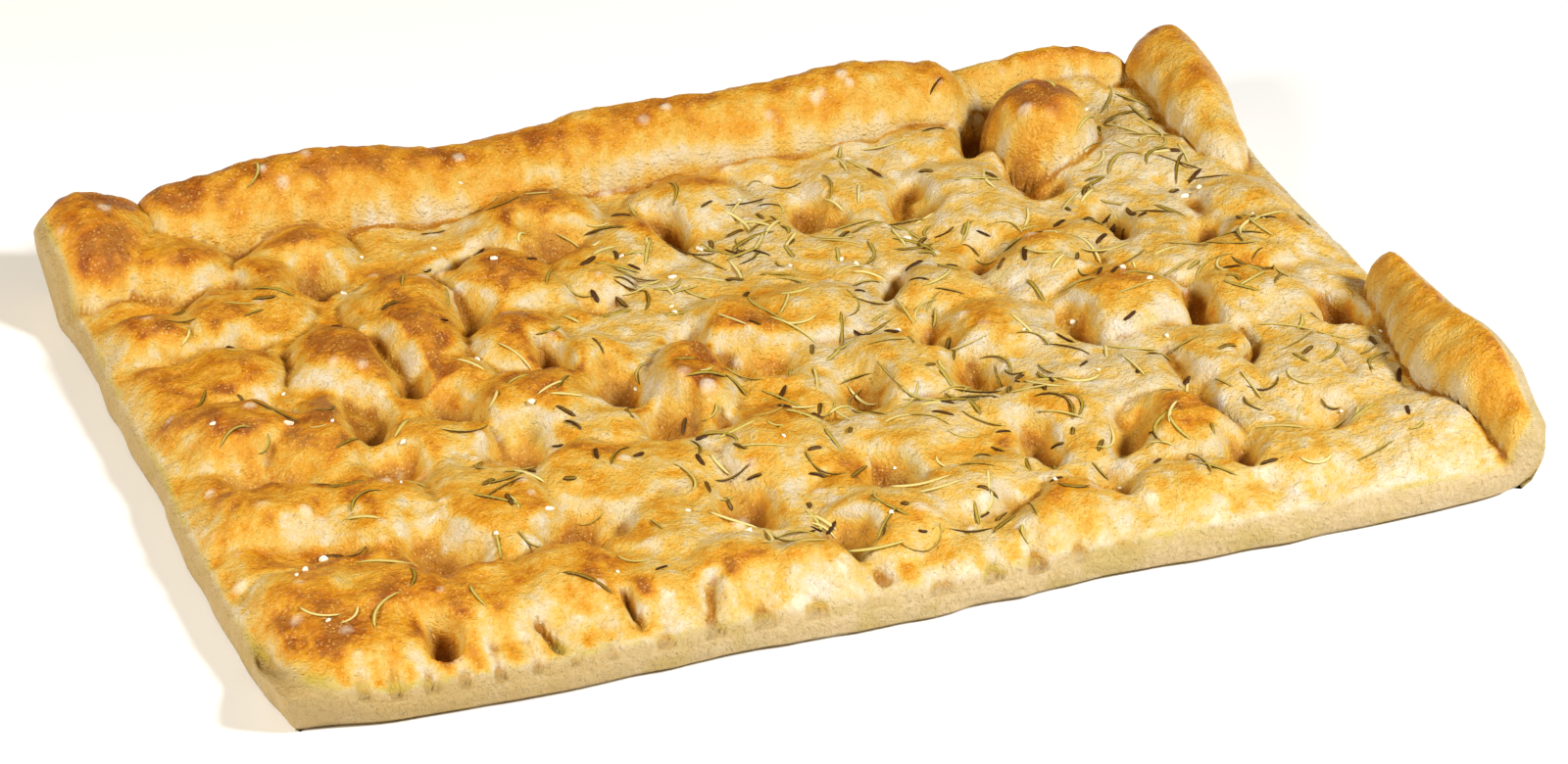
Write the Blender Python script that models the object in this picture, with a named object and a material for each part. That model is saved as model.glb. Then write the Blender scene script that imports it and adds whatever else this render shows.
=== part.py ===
# Gluten-free focaccia baked in a rectangular tray, whole and uncut.
#
# One slab of soft dough, pressed full of finger pits and crossed by creases, with its
# back edge rolled up into a crust, a knob at the left back corner, a bubble by the right
# back corner and two folded flaps on the right edge. Rosemary needles and coarse salt lie
# on it and are baked in.
#
# Metres, +Z up. The slab rests on z = 0 with its middle over the origin, its long side
# along X and its rolled crust at +Y.

import math
from collections import namedtuple
from functools import cache

import bmesh
import bpy
import numpy as np
from mathutils import Vector
from mathutils.bvhtree import BVHTree

# Slab
LENGTH = 0.400
WIDTH = 0.288
LEVEL = 0.0200          # height of the top between its swellings
TRAY_BAND = 0.0080      # upright band that the tray wall shaped
SHOULDER = 0.018        # run of the slope from the band up to the top
SHOULDER_POWER = 1.7    # how convex that slope is
CORNER = 0.005          # corner radius of the base
TOP_CORNER = 0.009      # corner radius of the top's shoulder
BASE_EDGE = 0.0015      # small round where the band meets the tray's floor
CORNER_TUCK = 0.0045    # how far each corner of the base draws in under the band
CORNER_TUCK_RUN = 0.040

# Corners where the upright band stands higher: x, y, rise, run
HIGH_CORNERS = ((-0.199, -0.143, 0.0080, 0.034), (-0.199, 0.143, 0.0040, 0.034),
                (0.196, 0.142, 0.0050, 0.030), (0.195, -0.140, 0.0025, 0.020))

# How far each side of the base lies from the middle, at even steps along it
LEFT_SIDE = (-0.1990, -0.1990, -0.1995, -0.2000, -0.1998, -0.1996, -0.1983, -0.1992, -0.1994,
             -0.1986, -0.1988, -0.2006, -0.2004)
RIGHT_SIDE = (0.1950, 0.1960, 0.1965, 0.1960, 0.1958, 0.1965, 0.1945)
FRONT_SIDE = (-0.1432, -0.1448, -0.1448, -0.1436, -0.1440, -0.1412, -0.1418, -0.1410, -0.1395)
BACK_SIDE = (0.1415, 0.1436, 0.1440, 0.1432, 0.1438, 0.1440, 0.1438, 0.1405, 0.1425)

# Finger pits and creases: x, y, half width, half length, turn in degrees, depth
PITS = (
    # Front row
    (-0.147, -0.131, 0.0055, 0.006, 0, 0.013),
    (-0.117, -0.136, 0.0035, 0.009, 5, 0.008),
    (-0.093, -0.132, 0.0035, 0.009, 0, 0.008),
    (-0.070, -0.133, 0.004, 0.012, -50, 0.007),
    (-0.018, -0.121, 0.010, 0.011, 10, 0.010),
    (-0.013, -0.137, 0.0035, 0.008, 15, 0.007),
    (0.031, -0.121, 0.011, 0.014, -50, 0.0065),
    (0.067, -0.114, 0.009, 0.011, 0, 0.009),
    (0.106, -0.113, 0.007, 0.010, 0, 0.010),
    (0.140, -0.103, 0.013, 0.009, 0, 0.008),
    # Second row
    (-0.168, -0.070, 0.022, 0.012, -12, 0.007),
    (-0.134, -0.089, 0.012, 0.014, 0, 0.013),
    (-0.091, -0.090, 0.012, 0.014, 0, 0.013),
    (-0.041, -0.091, 0.010, 0.013, 0, 0.013),
    (0.008, -0.090, 0.009, 0.013, 0, 0.013),
    (0.052, -0.087, 0.009, 0.013, 0, 0.012),
    (0.080, -0.090, 0.008, 0.014, -30, 0.010),
    (0.110, -0.078, 0.006, 0.042, 0, 0.007),
    (0.135, -0.054, 0.004, 0.016, -10, 0.008),
    (0.158, -0.075, 0.0028, 0.017, 0, 0.004),
    # Third row
    (-0.169, -0.025, 0.021, 0.011, -15, 0.010),
    (-0.131, -0.037, 0.012, 0.011, 0, 0.011),
    (-0.094, -0.039, 0.011, 0.012, 0, 0.011),
    (-0.045, -0.039, 0.010, 0.011, 0, 0.012),
    (-0.031, -0.041, 0.006, 0.009, 0, 0.008),
    (0.014, -0.038, 0.011, 0.011, 0, 0.010),
    (0.052, -0.040, 0.009, 0.010, 0, 0.011),
    (0.092, -0.026, 0.006, 0.015, 5, 0.010),
    (0.130, -0.026, 0.006, 0.014, -10, 0.010),
    (0.172, -0.041, 0.009, 0.009, 0, 0.013),
    # Fourth row
    (-0.134, -0.007, 0.009, 0.013, 0, 0.012),
    (-0.105, -0.008, 0.009, 0.012, 0, 0.012),
    (-0.116, 0.010, 0.006, 0.010, 0, 0.011),
    (-0.158, 0.013, 0.005, 0.020, 35, 0.008),
    (-0.057, -0.011, 0.009, 0.012, 0, 0.012),
    (-0.009, -0.012, 0.012, 0.011, 0, 0.009),
    (0.047, -0.015, 0.009, 0.011, -20, 0.010),
    (-0.068, 0.009, 0.005, 0.010, 0, 0.013),
    (-0.026, 0.005, 0.007, 0.010, 0, 0.011),
    (0.109, 0.012, 0.011, 0.006, 0, 0.007),
    (0.154, 0.019, 0.008, 0.011, 0, 0.012),
    # Fifth row
    (-0.116, 0.028, 0.004, 0.022, -3, 0.007),
    (-0.086, 0.041, 0.008, 0.009, 0, 0.009),
    (-0.088, 0.044, 0.004, 0.018, -5, 0.006),
    (-0.046, 0.040, 0.009, 0.007, 15, 0.007),
    (0.047, 0.022, 0.005, 0.012, -30, 0.009),
    (0.080, 0.027, 0.008, 0.010, -25, 0.009),
    (0.131, 0.038, 0.005, 0.014, -15, 0.011),
    (0.160, 0.042, 0.004, 0.012, -20, 0.006),
    (-0.181, 0.052, 0.010, 0.006, 0, 0.006),
    (-0.155, 0.052, 0.012, 0.005, 0, 0.007),
    # Sixth row
    (-0.178, 0.086, 0.024, 0.005, 5, 0.006),
    (-0.150, 0.088, 0.005, 0.012, 20, 0.006),
    (-0.125, 0.084, 0.009, 0.014, -32, 0.012),
    (-0.080, 0.081, 0.006, 0.013, -58, 0.008),
    (-0.045, 0.081, 0.014, 0.010, 10, 0.012),
    (-0.009, 0.075, 0.006, 0.013, 0, 0.013),
    (0.040, 0.075, 0.010, 0.011, 0, 0.012),
    (0.072, 0.071, 0.007, 0.012, -15, 0.011),
    (0.117, 0.073, 0.009, 0.009, 0, 0.013),
    (0.112, 0.110, 0.006, 0.018, -38, 0.014),
    (0.161, 0.126, 0.005, 0.005, 0, 0.006),
)

# Swellings between the pits: x, y, half width, half length, turn in degrees, rise
PILLOWS = (
    # Front rim
    (-0.172, -0.112, 0.030, 0.026, 0, 0.0040),
    (-0.152, -0.106, 0.026, 0.013, -8, 0.0060),
    (-0.176, -0.100, 0.020, 0.012, -8, 0.006),
    (-0.130, -0.116, 0.017, 0.016, 0, 0.006),
    (-0.103, -0.113, 0.014, 0.015, 0, 0.006),
    (-0.084, -0.124, 0.014, 0.014, 0, 0.004),
    (-0.058, -0.126, 0.016, 0.014, 25, 0.006),
    (-0.036, -0.134, 0.012, 0.014, 0, 0.006),
    (-0.004, -0.114, 0.015, 0.016, 0, 0.006),
    (0.022, -0.106, 0.018, 0.012, 10, 0.005),
    (0.045, -0.128, 0.018, 0.012, 25, 0.006),
    (0.087, -0.122, 0.018, 0.012, 0, 0.004),
    (0.125, -0.119, 0.018, 0.012, 0, 0.004),
    (0.162, -0.118, 0.022, 0.018, 0, 0.003),
    # Between the first two rows of pits
    (-0.175, -0.048, 0.024, 0.011, -8, 0.006),
    (-0.146, -0.058, 0.016, 0.014, 0, 0.006),
    (-0.113, -0.068, 0.015, 0.020, -10, 0.005),
    (-0.080, -0.062, 0.018, 0.016, 0, 0.005),
    (-0.066, -0.100, 0.012, 0.018, 0, 0.004),
    (-0.055, -0.062, 0.012, 0.012, 0, 0.004),
    (-0.020, -0.062, 0.016, 0.020, 0, 0.006),
    (0.018, -0.066, 0.022, 0.014, 0, 0.004),
    (0.066, -0.068, 0.018, 0.016, 0, 0.004),
    (0.094, -0.094, 0.013, 0.018, -15, 0.007),
    (0.092, -0.058, 0.014, 0.014, 0, 0.003),
    (0.123, -0.062, 0.011, 0.022, -8, 0.005),
    (0.148, -0.076, 0.016, 0.020, 0, 0.004),
    # Between the second and third rows
    (-0.176, 0.001, 0.024, 0.015, -12, 0.009),
    (-0.150, -0.012, 0.012, 0.020, -35, 0.007),
    (-0.118, -0.024, 0.018, 0.008, 0, 0.004),
    (-0.082, -0.014, 0.015, 0.016, 0, 0.007),
    (-0.033, -0.020, 0.009, 0.020, -12, 0.008),
    (-0.070, -0.032, 0.012, 0.012, 0, 0.004),
    (0.032, -0.028, 0.016, 0.018, 0, 0.006),
    (0.068, -0.014, 0.015, 0.016, 0, 0.006),
    (0.110, -0.016, 0.017, 0.017, 0, 0.008),
    (0.150, -0.024, 0.018, 0.016, 0, 0.006),
    (0.158, -0.002, 0.014, 0.010, 0, 0.005),
    # Middle
    (-0.184, 0.030, 0.014, 0.016, 0, 0.004),
    (-0.166, 0.034, 0.014, 0.012, 0, 0.006),
    (-0.131, 0.030, 0.012, 0.020, -5, 0.008),
    (-0.104, 0.048, 0.011, 0.030, -5, 0.009),
    (-0.100, 0.008, 0.010, 0.012, 0, 0.004),
    (-0.076, 0.026, 0.012, 0.013, 0, 0.006),
    (-0.056, 0.006, 0.009, 0.010, 0, 0.005),
    (-0.008, 0.012, 0.010, 0.015, 0, 0.006),
    (0.014, 0.014, 0.016, 0.014, 0, 0.006),
    (0.060, 0.014, 0.011, 0.012, -15, 0.005),
    (0.097, 0.018, 0.015, 0.014, -15, 0.007),
    (0.135, 0.010, 0.012, 0.014, 0, 0.004),
    (0.176, 0.012, 0.014, 0.012, 0, 0.005),
    (0.176, 0.038, 0.014, 0.014, 0, 0.005),
    # Back
    (-0.180, 0.068, 0.012, 0.011, 0, 0.006),
    (-0.158, 0.070, 0.010, 0.016, 0, 0.006),
    (-0.140, 0.080, 0.010, 0.026, -5, 0.006),
    (-0.122, 0.104, 0.014, 0.010, 0, 0.007),
    (-0.167, 0.112, 0.022, 0.013, -35, 0.010),
    (-0.070, 0.060, 0.017, 0.018, 0, 0.007),
    (-0.048, 0.097, 0.021, 0.013, 0, 0.009),
    (-0.042, 0.058, 0.012, 0.014, 0, 0.005),
    (-0.022, 0.074, 0.009, 0.016, 0, 0.005),
    (0.006, 0.095, 0.014, 0.013, 0, 0.006),
    (0.055, 0.086, 0.012, 0.018, -10, 0.004),
    (0.090, 0.070, 0.015, 0.028, -10, 0.006),
    (0.090, 0.108, 0.013, 0.013, 0, 0.006),
    (0.143, 0.124, 0.018, 0.009, 0, 0.006),
    (0.155, 0.074, 0.018, 0.016, 0, 0.004),
)

# Each pit is a steep core in a soft slope, and both run out further towards the back
CORE = (0.60, 0.0035, 0.0060, 1.5)      # share of its depth, growth, more at its back, power
SLOPE = (0.46, 0.0080, 0.0140, 2.0)
WIDE_PIT = 0.009        # a narrower crease grows by less, in proportion
PIT_BLEND = 0.0020
PILLOW_GAIN = 1.20
PILLOW_GROW = 0.008
PILLOW_BLEND = 0.0012

# Small swellings that fill the rest of the top, one to a cell, by seeded draws
FILL_STEP = 0.021
FILL_SIZE = (0.009, 0.015)
FILL_RISE = (0.0010, 0.0030)
FILL_SEED = 12

# Rolled crusts, the knob and the bubble. Each lies along one axis from start to end, closes
# over end_runs at its two ends, and has values at even steps along it: its centre line, its
# half width to the middle of the slab and to the outside, and the height of its crest.
# to_middle is the direction of the slab's middle, and the leans are its overhangs in half
# widths.
Roll = namedtuple("Roll", "axis start end end_runs centre inside outside crest "
                          "to_middle lean_in lean_out")
BACK_ROLL = Roll("x", -0.158, 0.100, (0.016, 0.016), (0.1315,), (0.0200,), (0.0125,),
                 (0.0345, 0.0385, 0.0395, 0.0370, 0.0325, 0.0340, 0.0368, 0.0371, 0.0369,
                  0.0375, 0.0388, 0.0350), -1, 0.10, 0.16)
LOW_RIM = Roll("x", 0.112, 0.166, (0.010, 0.010), (0.133,), (0.009,), (0.010,),
               (0.0290, 0.0295, 0.0315, 0.0305, 0.0265), -1, 0.07, 0.08)
KNOB = Roll("y", 0.126, 0.130, (0.032, 0.0170), (-0.1880,), (0.0280,), (0.0165,),
            (0.0375, 0.0375), 1, 0.05, 0.10)
DOME = Roll("y", 0.0950, 0.1010, (0.0175, 0.0165), (0.1285,), (0.0185,), (0.0185,),
            (0.0370, 0.0370), -1, 0.08, 0.08)
RIGHT_ROLL = Roll("y", 0.078, 0.127, (0.020, 0.0145), (0.1820, 0.1850, 0.1860),
                  (0.0100, 0.0130, 0.0150), (0.0095, 0.0105, 0.0115),
                  (0.0260, 0.0325, 0.0350, 0.0355), -1, 0.18, 0.20)
FLAP = Roll("y", -0.132, -0.040, (0.010, 0.016),
            (0.1905, 0.1915, 0.1925, 0.1915, 0.1915, 0.1925),
            (0.0075, 0.0135, 0.0185, 0.0160, 0.0115, 0.0085),
            (0.0050, 0.0055, 0.0060, 0.0055, 0.0050, 0.0045),
            (0.0270, 0.0365, 0.0375, 0.0345, 0.0330, 0.0315), -1, 0.16, 0.90)
ROLLS = (BACK_ROLL, LOW_RIM, KNOB, DOME, RIGHT_ROLL, FLAP)
CREASE_BLEND = 0.0016   # how softly a roll meets the top
ROLL_SHOWS = (-0.001, 0.003)           # heights over the top at which a roll takes over
ROLL_BULGE = 3          # power that sets how far out a roll's overhang is widest

# Kinds of smooth seeded noise: step of the lattice, reach, seed
SWELL = (0.060, 0.0016, 1)             # height
LUMP = (0.016, 0.0008, 2)              # height
CLOD = (0.008, 0.0004, 13)             # height
WANDER_X = (0.0170, 0.0026, 8)         # shift of the outlines of pits and swellings
WANDER_X_FINE = (0.0085, 0.0018, 9)
WANDER_Y = (0.0170, 0.0026, 10)
WANDER_Y_FINE = (0.0085, 0.0018, 11)
SHOULDER_DRIFT = (0.026, 0.32, 14)     # share of the shoulder's run
GROOVE_DRIFT = (0.050, 2.4, 3)         # radians
GROOVE_STRENGTH = (0.024, 0.35, 16)    # share of a groove's depth
BASE_WAVE = (0.014, 0.0008, 15)        # shift of the base's outline
WRINKLE_DRIFT = (0.035, 4.0, 5)        # radians
WRINKLE_FADE = (0.030, 0.5, 6)         # share
NOISE_REACH = 0.240                    # the noise fields cover this far from the middle

# Flutes that run down the front edge's slope, with grooves between them, and wrinkles low
# on the inner face of a roll
GROOVE_CHANGE = -0.100  # place along the edge where the flutes change
GROOVE_STEP = 0.0105    # to its left
GROOVE_WIDE_STEP = 0.0165              # to its right
GROOVE_DEPTH = 0.0050   # how far a groove draws the slope back
GROOVE_POWER = 1.4      # how narrow a groove is beside its flutes
GROOVE_START = (-0.001, 0.003)         # in from the edge: they begin and are full
GROOVE_STOP = (0.012, 0.034)           # in from the edge: they fade and end
GROOVE_FRONT = (0.100, 0.120)          # in front of the middle: they begin and are full
GROOVE_RIGHT = (0.000, 0.150)          # right of the middle: they fade and end
WRINKLE_STEP = 0.0125
WRINKLE_DEPTH = 0.0008
WRINKLE_FACE = (0.25, 0.60)            # shares of a roll's half width where they begin
WRINKLE_MEAN = 0.5                     # mean share of their depth

PIT_EDGE_FADE = 0.006   # pits fade out over this run at the sides
LOWEST_TOP = 0.0075

# The top's relief is worked out on a lattice, and what stands out from its mean within a
# reach is strengthened: reach, gain for crests, gain for creases
RELIEF_STEP = 0.0010
STRONGER = ((0.0030, 0.10, 0.70), (0.0070, 0.15, 0.20))

# Mesh of the dough
GRID_STEP = 0.0030
EDGE_STEPS = (0.25, 0.35, 0.50, 0.70, 0.85)   # the first steps in from each side
DOUGH_TRIANGLES = 6400
BAND_RINGS = ((0.80, 0.0008), (0.40, 0.0004))   # share of the band's height, bulge

# Rosemary and salt
NEEDLE_COUNT = 108
NEEDLE_TRIES = 6000
NEEDLE_LENGTH = (0.011, 0.020)
NEEDLE_BEND = 0.6                      # most it turns from its middle to an end, in radians
NEEDLE_WIDTH = 0.0022
NEEDLE_TIP = 0.25                      # width of its tips as a share of its width
NEEDLE_HEIGHT = 0.0010                 # how far its ridge stands above the top
NEEDLE_SINK = 0.0008                   # how far its foot is baked in
NEEDLE_STATIONS = (-0.47, -0.18, 0.16, 0.47)   # shares along it where its sides are set
NEEDLE_AHEAD = 0.02                    # share along it over which its heading is read
NEEDLE_MOST_RISE = 0.0050              # between its lowest and its highest place
NEEDLE_GAP = 0.0105                    # least distance between the middles of two needles
NEEDLE_SEED = 48
NEEDLES_ACROSS = (0.10, 0.25, 0.35, 0.85, 1.0, 1.0, 0.9, 0.7)   # shares from left to right
NEEDLES_OUT_OF_PITS = 0.30             # share of them on ground that isn't sunk
NEEDLE_PIT_DEPTH = 0.008               # depth from which they all stay
NEEDLE_EDGE = (0.004, 0.026)           # they begin and are full this far from the sides
NEEDLE_BACK = (0.100, 0.116, 0.3)      # they thin out from here to here, to this share
SALT_COUNT = 12
SALT_SIZE = (0.0026, 0.0038)
SALT_FLATNESS = 0.8
SALT_LEVELS = ((-0.5, 1.0), (0.55, 0.7))   # heights and widths of its foot and top
SALT_AREA = ((-0.17, -0.11), (0.16, 0.09))
SALT_GAP = 0.030
SALT_SEED = 7

DOUGH_COLOUR = (0.86, 0.62, 0.30, 1.0)
DOUGH_ROUGHNESS = 0.45


def through(values, share):
    """A smooth line through evenly spaced values, for shares from 0 to 1 along it."""
    if len(values) == 1:
        return np.full_like(share, values[0])
    padded = np.concatenate([[values[0]], values, [values[-1]]])
    place = np.clip(share, 0, 1) * (len(values) - 1)
    first = np.minimum(place.astype(int), len(values) - 2)
    f = place - first
    a, b, c, d = (padded[first + i] for i in range(4))
    return b + 0.5 * f * (c - a + f * (2 * a - 5 * b + 4 * c - d + f * (3 * (b - c) + d - a)))


def ramp(start, end, value):
    """Rises smoothly from 0 at start to 1 at end."""
    share = np.clip((value - start) / (end - start), 0, 1)
    return share * share * (3 - 2 * share)


def noise(x, y, kind):
    """Smooth seeded noise of one kind, from minus its reach to its reach."""
    step, reach, seed = kind
    count = int(2 * NOISE_REACH / step) + 2
    lattice = np.random.default_rng(seed).uniform(-reach, reach, (count, count))
    px = np.clip((x + NOISE_REACH) / step, 0, count - 1.001)
    py = np.clip((y + NOISE_REACH) / step, 0, count - 1.001)
    ix = px.astype(int)
    iy = py.astype(int)
    fx = ramp(0, 1, px - ix)
    fy = ramp(0, 1, py - iy)
    low = lattice[ix, iy] * (1 - fx) + lattice[ix + 1, iy] * fx
    high = lattice[ix, iy + 1] * (1 - fx) + lattice[ix + 1, iy + 1] * fx
    return low * (1 - fy) + high * fy


def oval(x, y, row, grow=0.0, back=0.0):
    """1 in the middle of an oval and 0 from its edge outwards, longer by back at its back."""
    centre_x, centre_y, half_width, half_length, turn = row[:5]
    cos, sin = math.cos(math.radians(turn)), math.sin(math.radians(turn))
    across = ((x - centre_x) * cos + (y - centre_y) * sin) / (half_width + grow)
    along = (y - centre_y) * cos - (x - centre_x) * sin
    along = along / (half_length + grow + np.where(along > 0, back, 0))
    return np.clip(1 - across ** 2 - along ** 2, 0, 1)


def side_lines(x, y):
    """The four sides of the base, level with each point."""
    along_x = x / LENGTH + 0.5
    along_y = y / WIDTH + 0.5
    return (through(LEFT_SIDE, along_y), through(RIGHT_SIDE, along_y),
            through(FRONT_SIDE, along_x), through(BACK_SIDE, along_x))


def from_edge(x, y):
    """Distance in from the sides, with the top's rounded corners."""
    left, right, front, back = side_lines(x, y)
    in_x = np.minimum(x - left, right - x)
    in_y = np.minimum(y - front, back - y)
    corner_x = np.maximum(TOP_CORNER - in_x, 0)
    corner_y = np.maximum(TOP_CORNER - in_y, 0)
    rounded = TOP_CORNER - np.hypot(corner_x, corner_y)
    return np.where((corner_x > 0) & (corner_y > 0), rounded, np.minimum(in_x, in_y))


def band_height(x, y):
    """Height of the upright band round the slab, which stands higher at its corners."""
    height = np.full_like(x, TRAY_BAND)
    for corner_x, corner_y, rise, run in HIGH_CORNERS:
        height = height + rise * (1 - ramp(0, run, np.hypot(x - corner_x, y - corner_y)))
    return height


def smooth_max(a, b, blend):
    """The larger of two heights, with the corner between them filled a little."""
    near = np.clip(1 - np.abs(a - b) / blend, 0, 1)
    return np.maximum(a, b) + blend * near ** 2 / 4


def roll_height(x, y, roll):
    """Height of a rolled crust, how far each point is from its edge, and its overhang."""
    along, across = (x, y) if roll.axis == "x" else (y, x)
    share = (along - roll.start) / (roll.end - roll.start)
    offset = (across - through(roll.centre, share)) * roll.to_middle
    half_width = np.where(offset > 0, through(roll.inside, share), through(roll.outside, share))
    before = np.maximum(roll.start - along, 0) / roll.end_runs[0]
    after = np.maximum(along - roll.end, 0) / roll.end_runs[1]
    beyond = before + after
    rest = np.clip(1 - (offset / half_width) ** 2 - beyond ** 2, 0, 1)
    wrinkle = np.cos(2 * math.pi * along / WRINKLE_STEP + noise(x, y, WRINKLE_DRIFT))
    low_on_face = ramp(*WRINKLE_FACE, offset / half_width)
    fade = WRINKLE_MEAN + noise(x, y, WRINKLE_FADE)
    crest = through(roll.crest, share) + WRINKLE_DEPTH * wrinkle * low_on_face * fade
    height = TRAY_BAND + (crest - TRAY_BAND) * np.sqrt(rest)
    far = np.clip(np.abs(offset) / half_width, 0, 1)
    bulge = np.sin(math.pi * far ** ROLL_BULGE) * (rest > 0) * np.clip(1 - beyond, 0, 1)
    overhang = np.where(offset > 0, roll.lean_in, -roll.lean_out) * half_width
    return height, rest, overhang * bulge * roll.to_middle


def wander(x, y):
    """Each point shifted a little by smooth noise, so that no outline is a clean oval."""
    return (x + noise(x, y, WANDER_X) + noise(x, y, WANDER_X_FINE),
            y + noise(x, y, WANDER_Y) + noise(x, y, WANDER_Y_FINE))


def pit_depth(x, y):
    """How deep the pits and creases go at each point; overlapping ones don't add up."""
    total = np.zeros_like(x)
    for share, grow, back, power in (CORE, SLOPE):
        depth = np.zeros_like(x)
        for row in PITS:
            thin = min(row[2] / WIDE_PIT, row[3] / WIDE_PIT, 1)
            part = row[5] * share * oval(x, y, row, grow * thin, back * thin) ** power
            depth = smooth_max(depth, part, PIT_BLEND)
        total = total + depth
    return total


def fill_pillows():
    """Small swellings, one to a cell of a grid over the top, shifted and sized by draws."""
    draw = np.random.default_rng(FILL_SEED)
    rows = []
    for cell_x in np.arange(-LENGTH / 2, LENGTH / 2, FILL_STEP):
        for cell_y in np.arange(-WIDTH / 2, WIDTH / 2, FILL_STEP):
            shift_x, shift_y = draw.uniform(0, FILL_STEP, 2)
            half_width, half_length = draw.uniform(*FILL_SIZE, 2)
            turn = draw.uniform(-90, 90)
            rise = draw.uniform(*FILL_RISE)
            rows.append((cell_x + shift_x, cell_y + shift_y, half_width, half_length, turn, rise))
    return rows


def pillow_rise(x, y):
    """How far the swellings stand up at each point; creases form where they meet."""
    rise = np.zeros_like(x)
    for row in PILLOWS:
        rise = smooth_max(rise, row[5] * PILLOW_GAIN * oval(x, y, row, PILLOW_GROW), PILLOW_BLEND)
    for row in fill_pillows():
        rise = smooth_max(rise, row[5] * oval(x, y, row), PILLOW_BLEND)
    return rise


def groove_depth(x, y, edge):
    """How far grooves draw the front edge's slope back from the edge."""
    on_slope = ramp(*GROOVE_START, edge) * (1 - ramp(*GROOVE_STOP, edge))
    at_front = ramp(*GROOVE_FRONT, -y) * (1 - ramp(*GROOVE_RIGHT, x))
    past = x - GROOVE_CHANGE
    count = np.minimum(past, 0) / GROOVE_STEP + np.maximum(past, 0) / GROOVE_WIDE_STEP
    wave = 0.5 + 0.5 * np.cos(2 * math.pi * count + noise(x, y, GROOVE_DRIFT))
    strength = 1 - GROOVE_STRENGTH[1] + noise(x, y, GROOVE_STRENGTH)
    return GROOVE_DEPTH * strength * wave ** GROOVE_POWER * at_front * on_slope


def blurred(field, cells):
    """The mean of a grid within some cells along both of its directions."""
    for axis in (0, 1):
        rows = np.moveaxis(field, axis, 0)
        ends = [np.repeat(rows[:1], cells, 0), rows, np.repeat(rows[-1:], cells, 0)]
        padded = np.concatenate(ends)
        sums = np.concatenate([np.zeros_like(padded[:1]), np.cumsum(padded, axis=0)])
        rows = (sums[2 * cells + 1:] - sums[:-2 * cells - 1]) / (2 * cells + 1)
        field = np.moveaxis(rows, 0, axis)
    return field


@cache
def relief_fields():
    """The top's height without its rolls and slopes, and its depth in pits, on a lattice."""
    places = np.arange(-NOISE_REACH, NOISE_REACH, RELIEF_STEP)
    x, y = np.meshgrid(places, places[np.abs(places) < WIDTH / 2 + SHOULDER], indexing="ij")
    near_x, near_y = wander(x, y)
    level = noise(x, y, LUMP) + noise(x, y, CLOD) + pillow_rise(near_x, near_y)
    depth = pit_depth(near_x, near_y)
    relief = level - depth
    for reach, up, down in STRONGER:
        cells = int(round(reach / RELIEF_STEP))
        over = relief - blurred(blurred(relief, cells), cells)
        relief = relief + np.where(over > 0, up, down) * over
    return relief, depth, y[0, 0]


def from_lattice(field, low_y, x, y):
    """Values of a lattice field at places between its points."""
    px = np.clip((x + NOISE_REACH) / RELIEF_STEP, 0, field.shape[0] - 1.001)
    py = np.clip((y - low_y) / RELIEF_STEP, 0, field.shape[1] - 1.001)
    ix = px.astype(int)
    iy = py.astype(int)
    fx = px - ix
    fy = py - iy
    low = field[ix, iy] * (1 - fx) + field[ix + 1, iy] * fx
    high = field[ix, iy + 1] * (1 - fx) + field[ix + 1, iy + 1] * fx
    return low * (1 - fy) + high * fy


def surface(x, y):
    """The top over a place in the plan: where it lies, its depth in a pit, its share of a roll."""
    edge = from_edge(x, y)
    relief_field, depth_field, low_y = relief_fields()
    relief = from_lattice(relief_field, low_y, x, y)
    depth = from_lattice(depth_field, low_y, x, y)
    level = LEVEL + noise(x, y, SWELL) + np.maximum(relief, 0)
    sunk = np.maximum(-relief, 0) * ramp(0.0, PIT_EDGE_FADE, edge)
    run = SHOULDER * (1 + noise(x, y, SHOULDER_DRIFT))
    up_slope = np.clip((edge - groove_depth(x, y, edge)) / run, 0, 1)
    rise = (1 - (1 - up_slope) ** SHOULDER_POWER) ** (1 / SHOULDER_POWER)
    band = band_height(x, y)
    z = np.maximum(band + (level - band - sunk) * rise, LOWEST_TOP)
    out_x = np.zeros_like(x)
    out_y = np.zeros_like(x)
    on_roll = np.zeros_like(x)
    for roll in ROLLS:
        height, rest, overhang = roll_height(x, y, roll)
        share = ramp(*ROLL_SHOWS, height - z) * (rest > 0)
        if roll.axis == "x":
            out_y = out_y + overhang * share
        else:
            out_x = out_x + overhang * share
        z = np.where(rest > 0, smooth_max(z, height, CREASE_BLEND), z)
        on_roll = np.maximum(on_roll, share)
    return x + out_x, y + out_y, z, depth, on_roll


def spaced(length, step):
    """Evenly spaced places from end to end, closer together near both ends."""
    near_end = np.cumsum([0.0] + [step * share for share in EDGE_STEPS])
    inner = length - 2 * near_end[-1]
    count = int(round(inner / step))
    middle = near_end[-1] + inner * np.arange(1, count) / count
    places = np.concatenate([near_end, middle, (length - near_end)[::-1]])
    return places - length / 2


def plan_grid(step):
    """Plan places of a grid of points over the whole base, with its corners rounded."""
    flat_x, flat_y = np.meshgrid(spaced(LENGTH, step), spaced(WIDTH, step), indexing="ij")
    corner_x = np.clip((np.abs(flat_x) - (LENGTH / 2 - CORNER)) / CORNER, 0, 1)
    corner_y = np.clip((np.abs(flat_y) - (WIDTH / 2 - CORNER)) / CORNER, 0, 1)
    pull_x = corner_x * (1 - np.sqrt(1 - corner_y ** 2 / 2))
    pull_y = corner_y * (1 - np.sqrt(1 - corner_x ** 2 / 2))
    flat_x = flat_x - np.sign(flat_x) * pull_x * CORNER
    flat_y = flat_y - np.sign(flat_y) * pull_y * CORNER
    left, right, front, back = side_lines(flat_x, flat_y)
    x = left + (right - left) * (flat_x / LENGTH + 0.5)
    y = front + (back - front) * (flat_y / WIDTH + 0.5)
    return x, y


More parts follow.
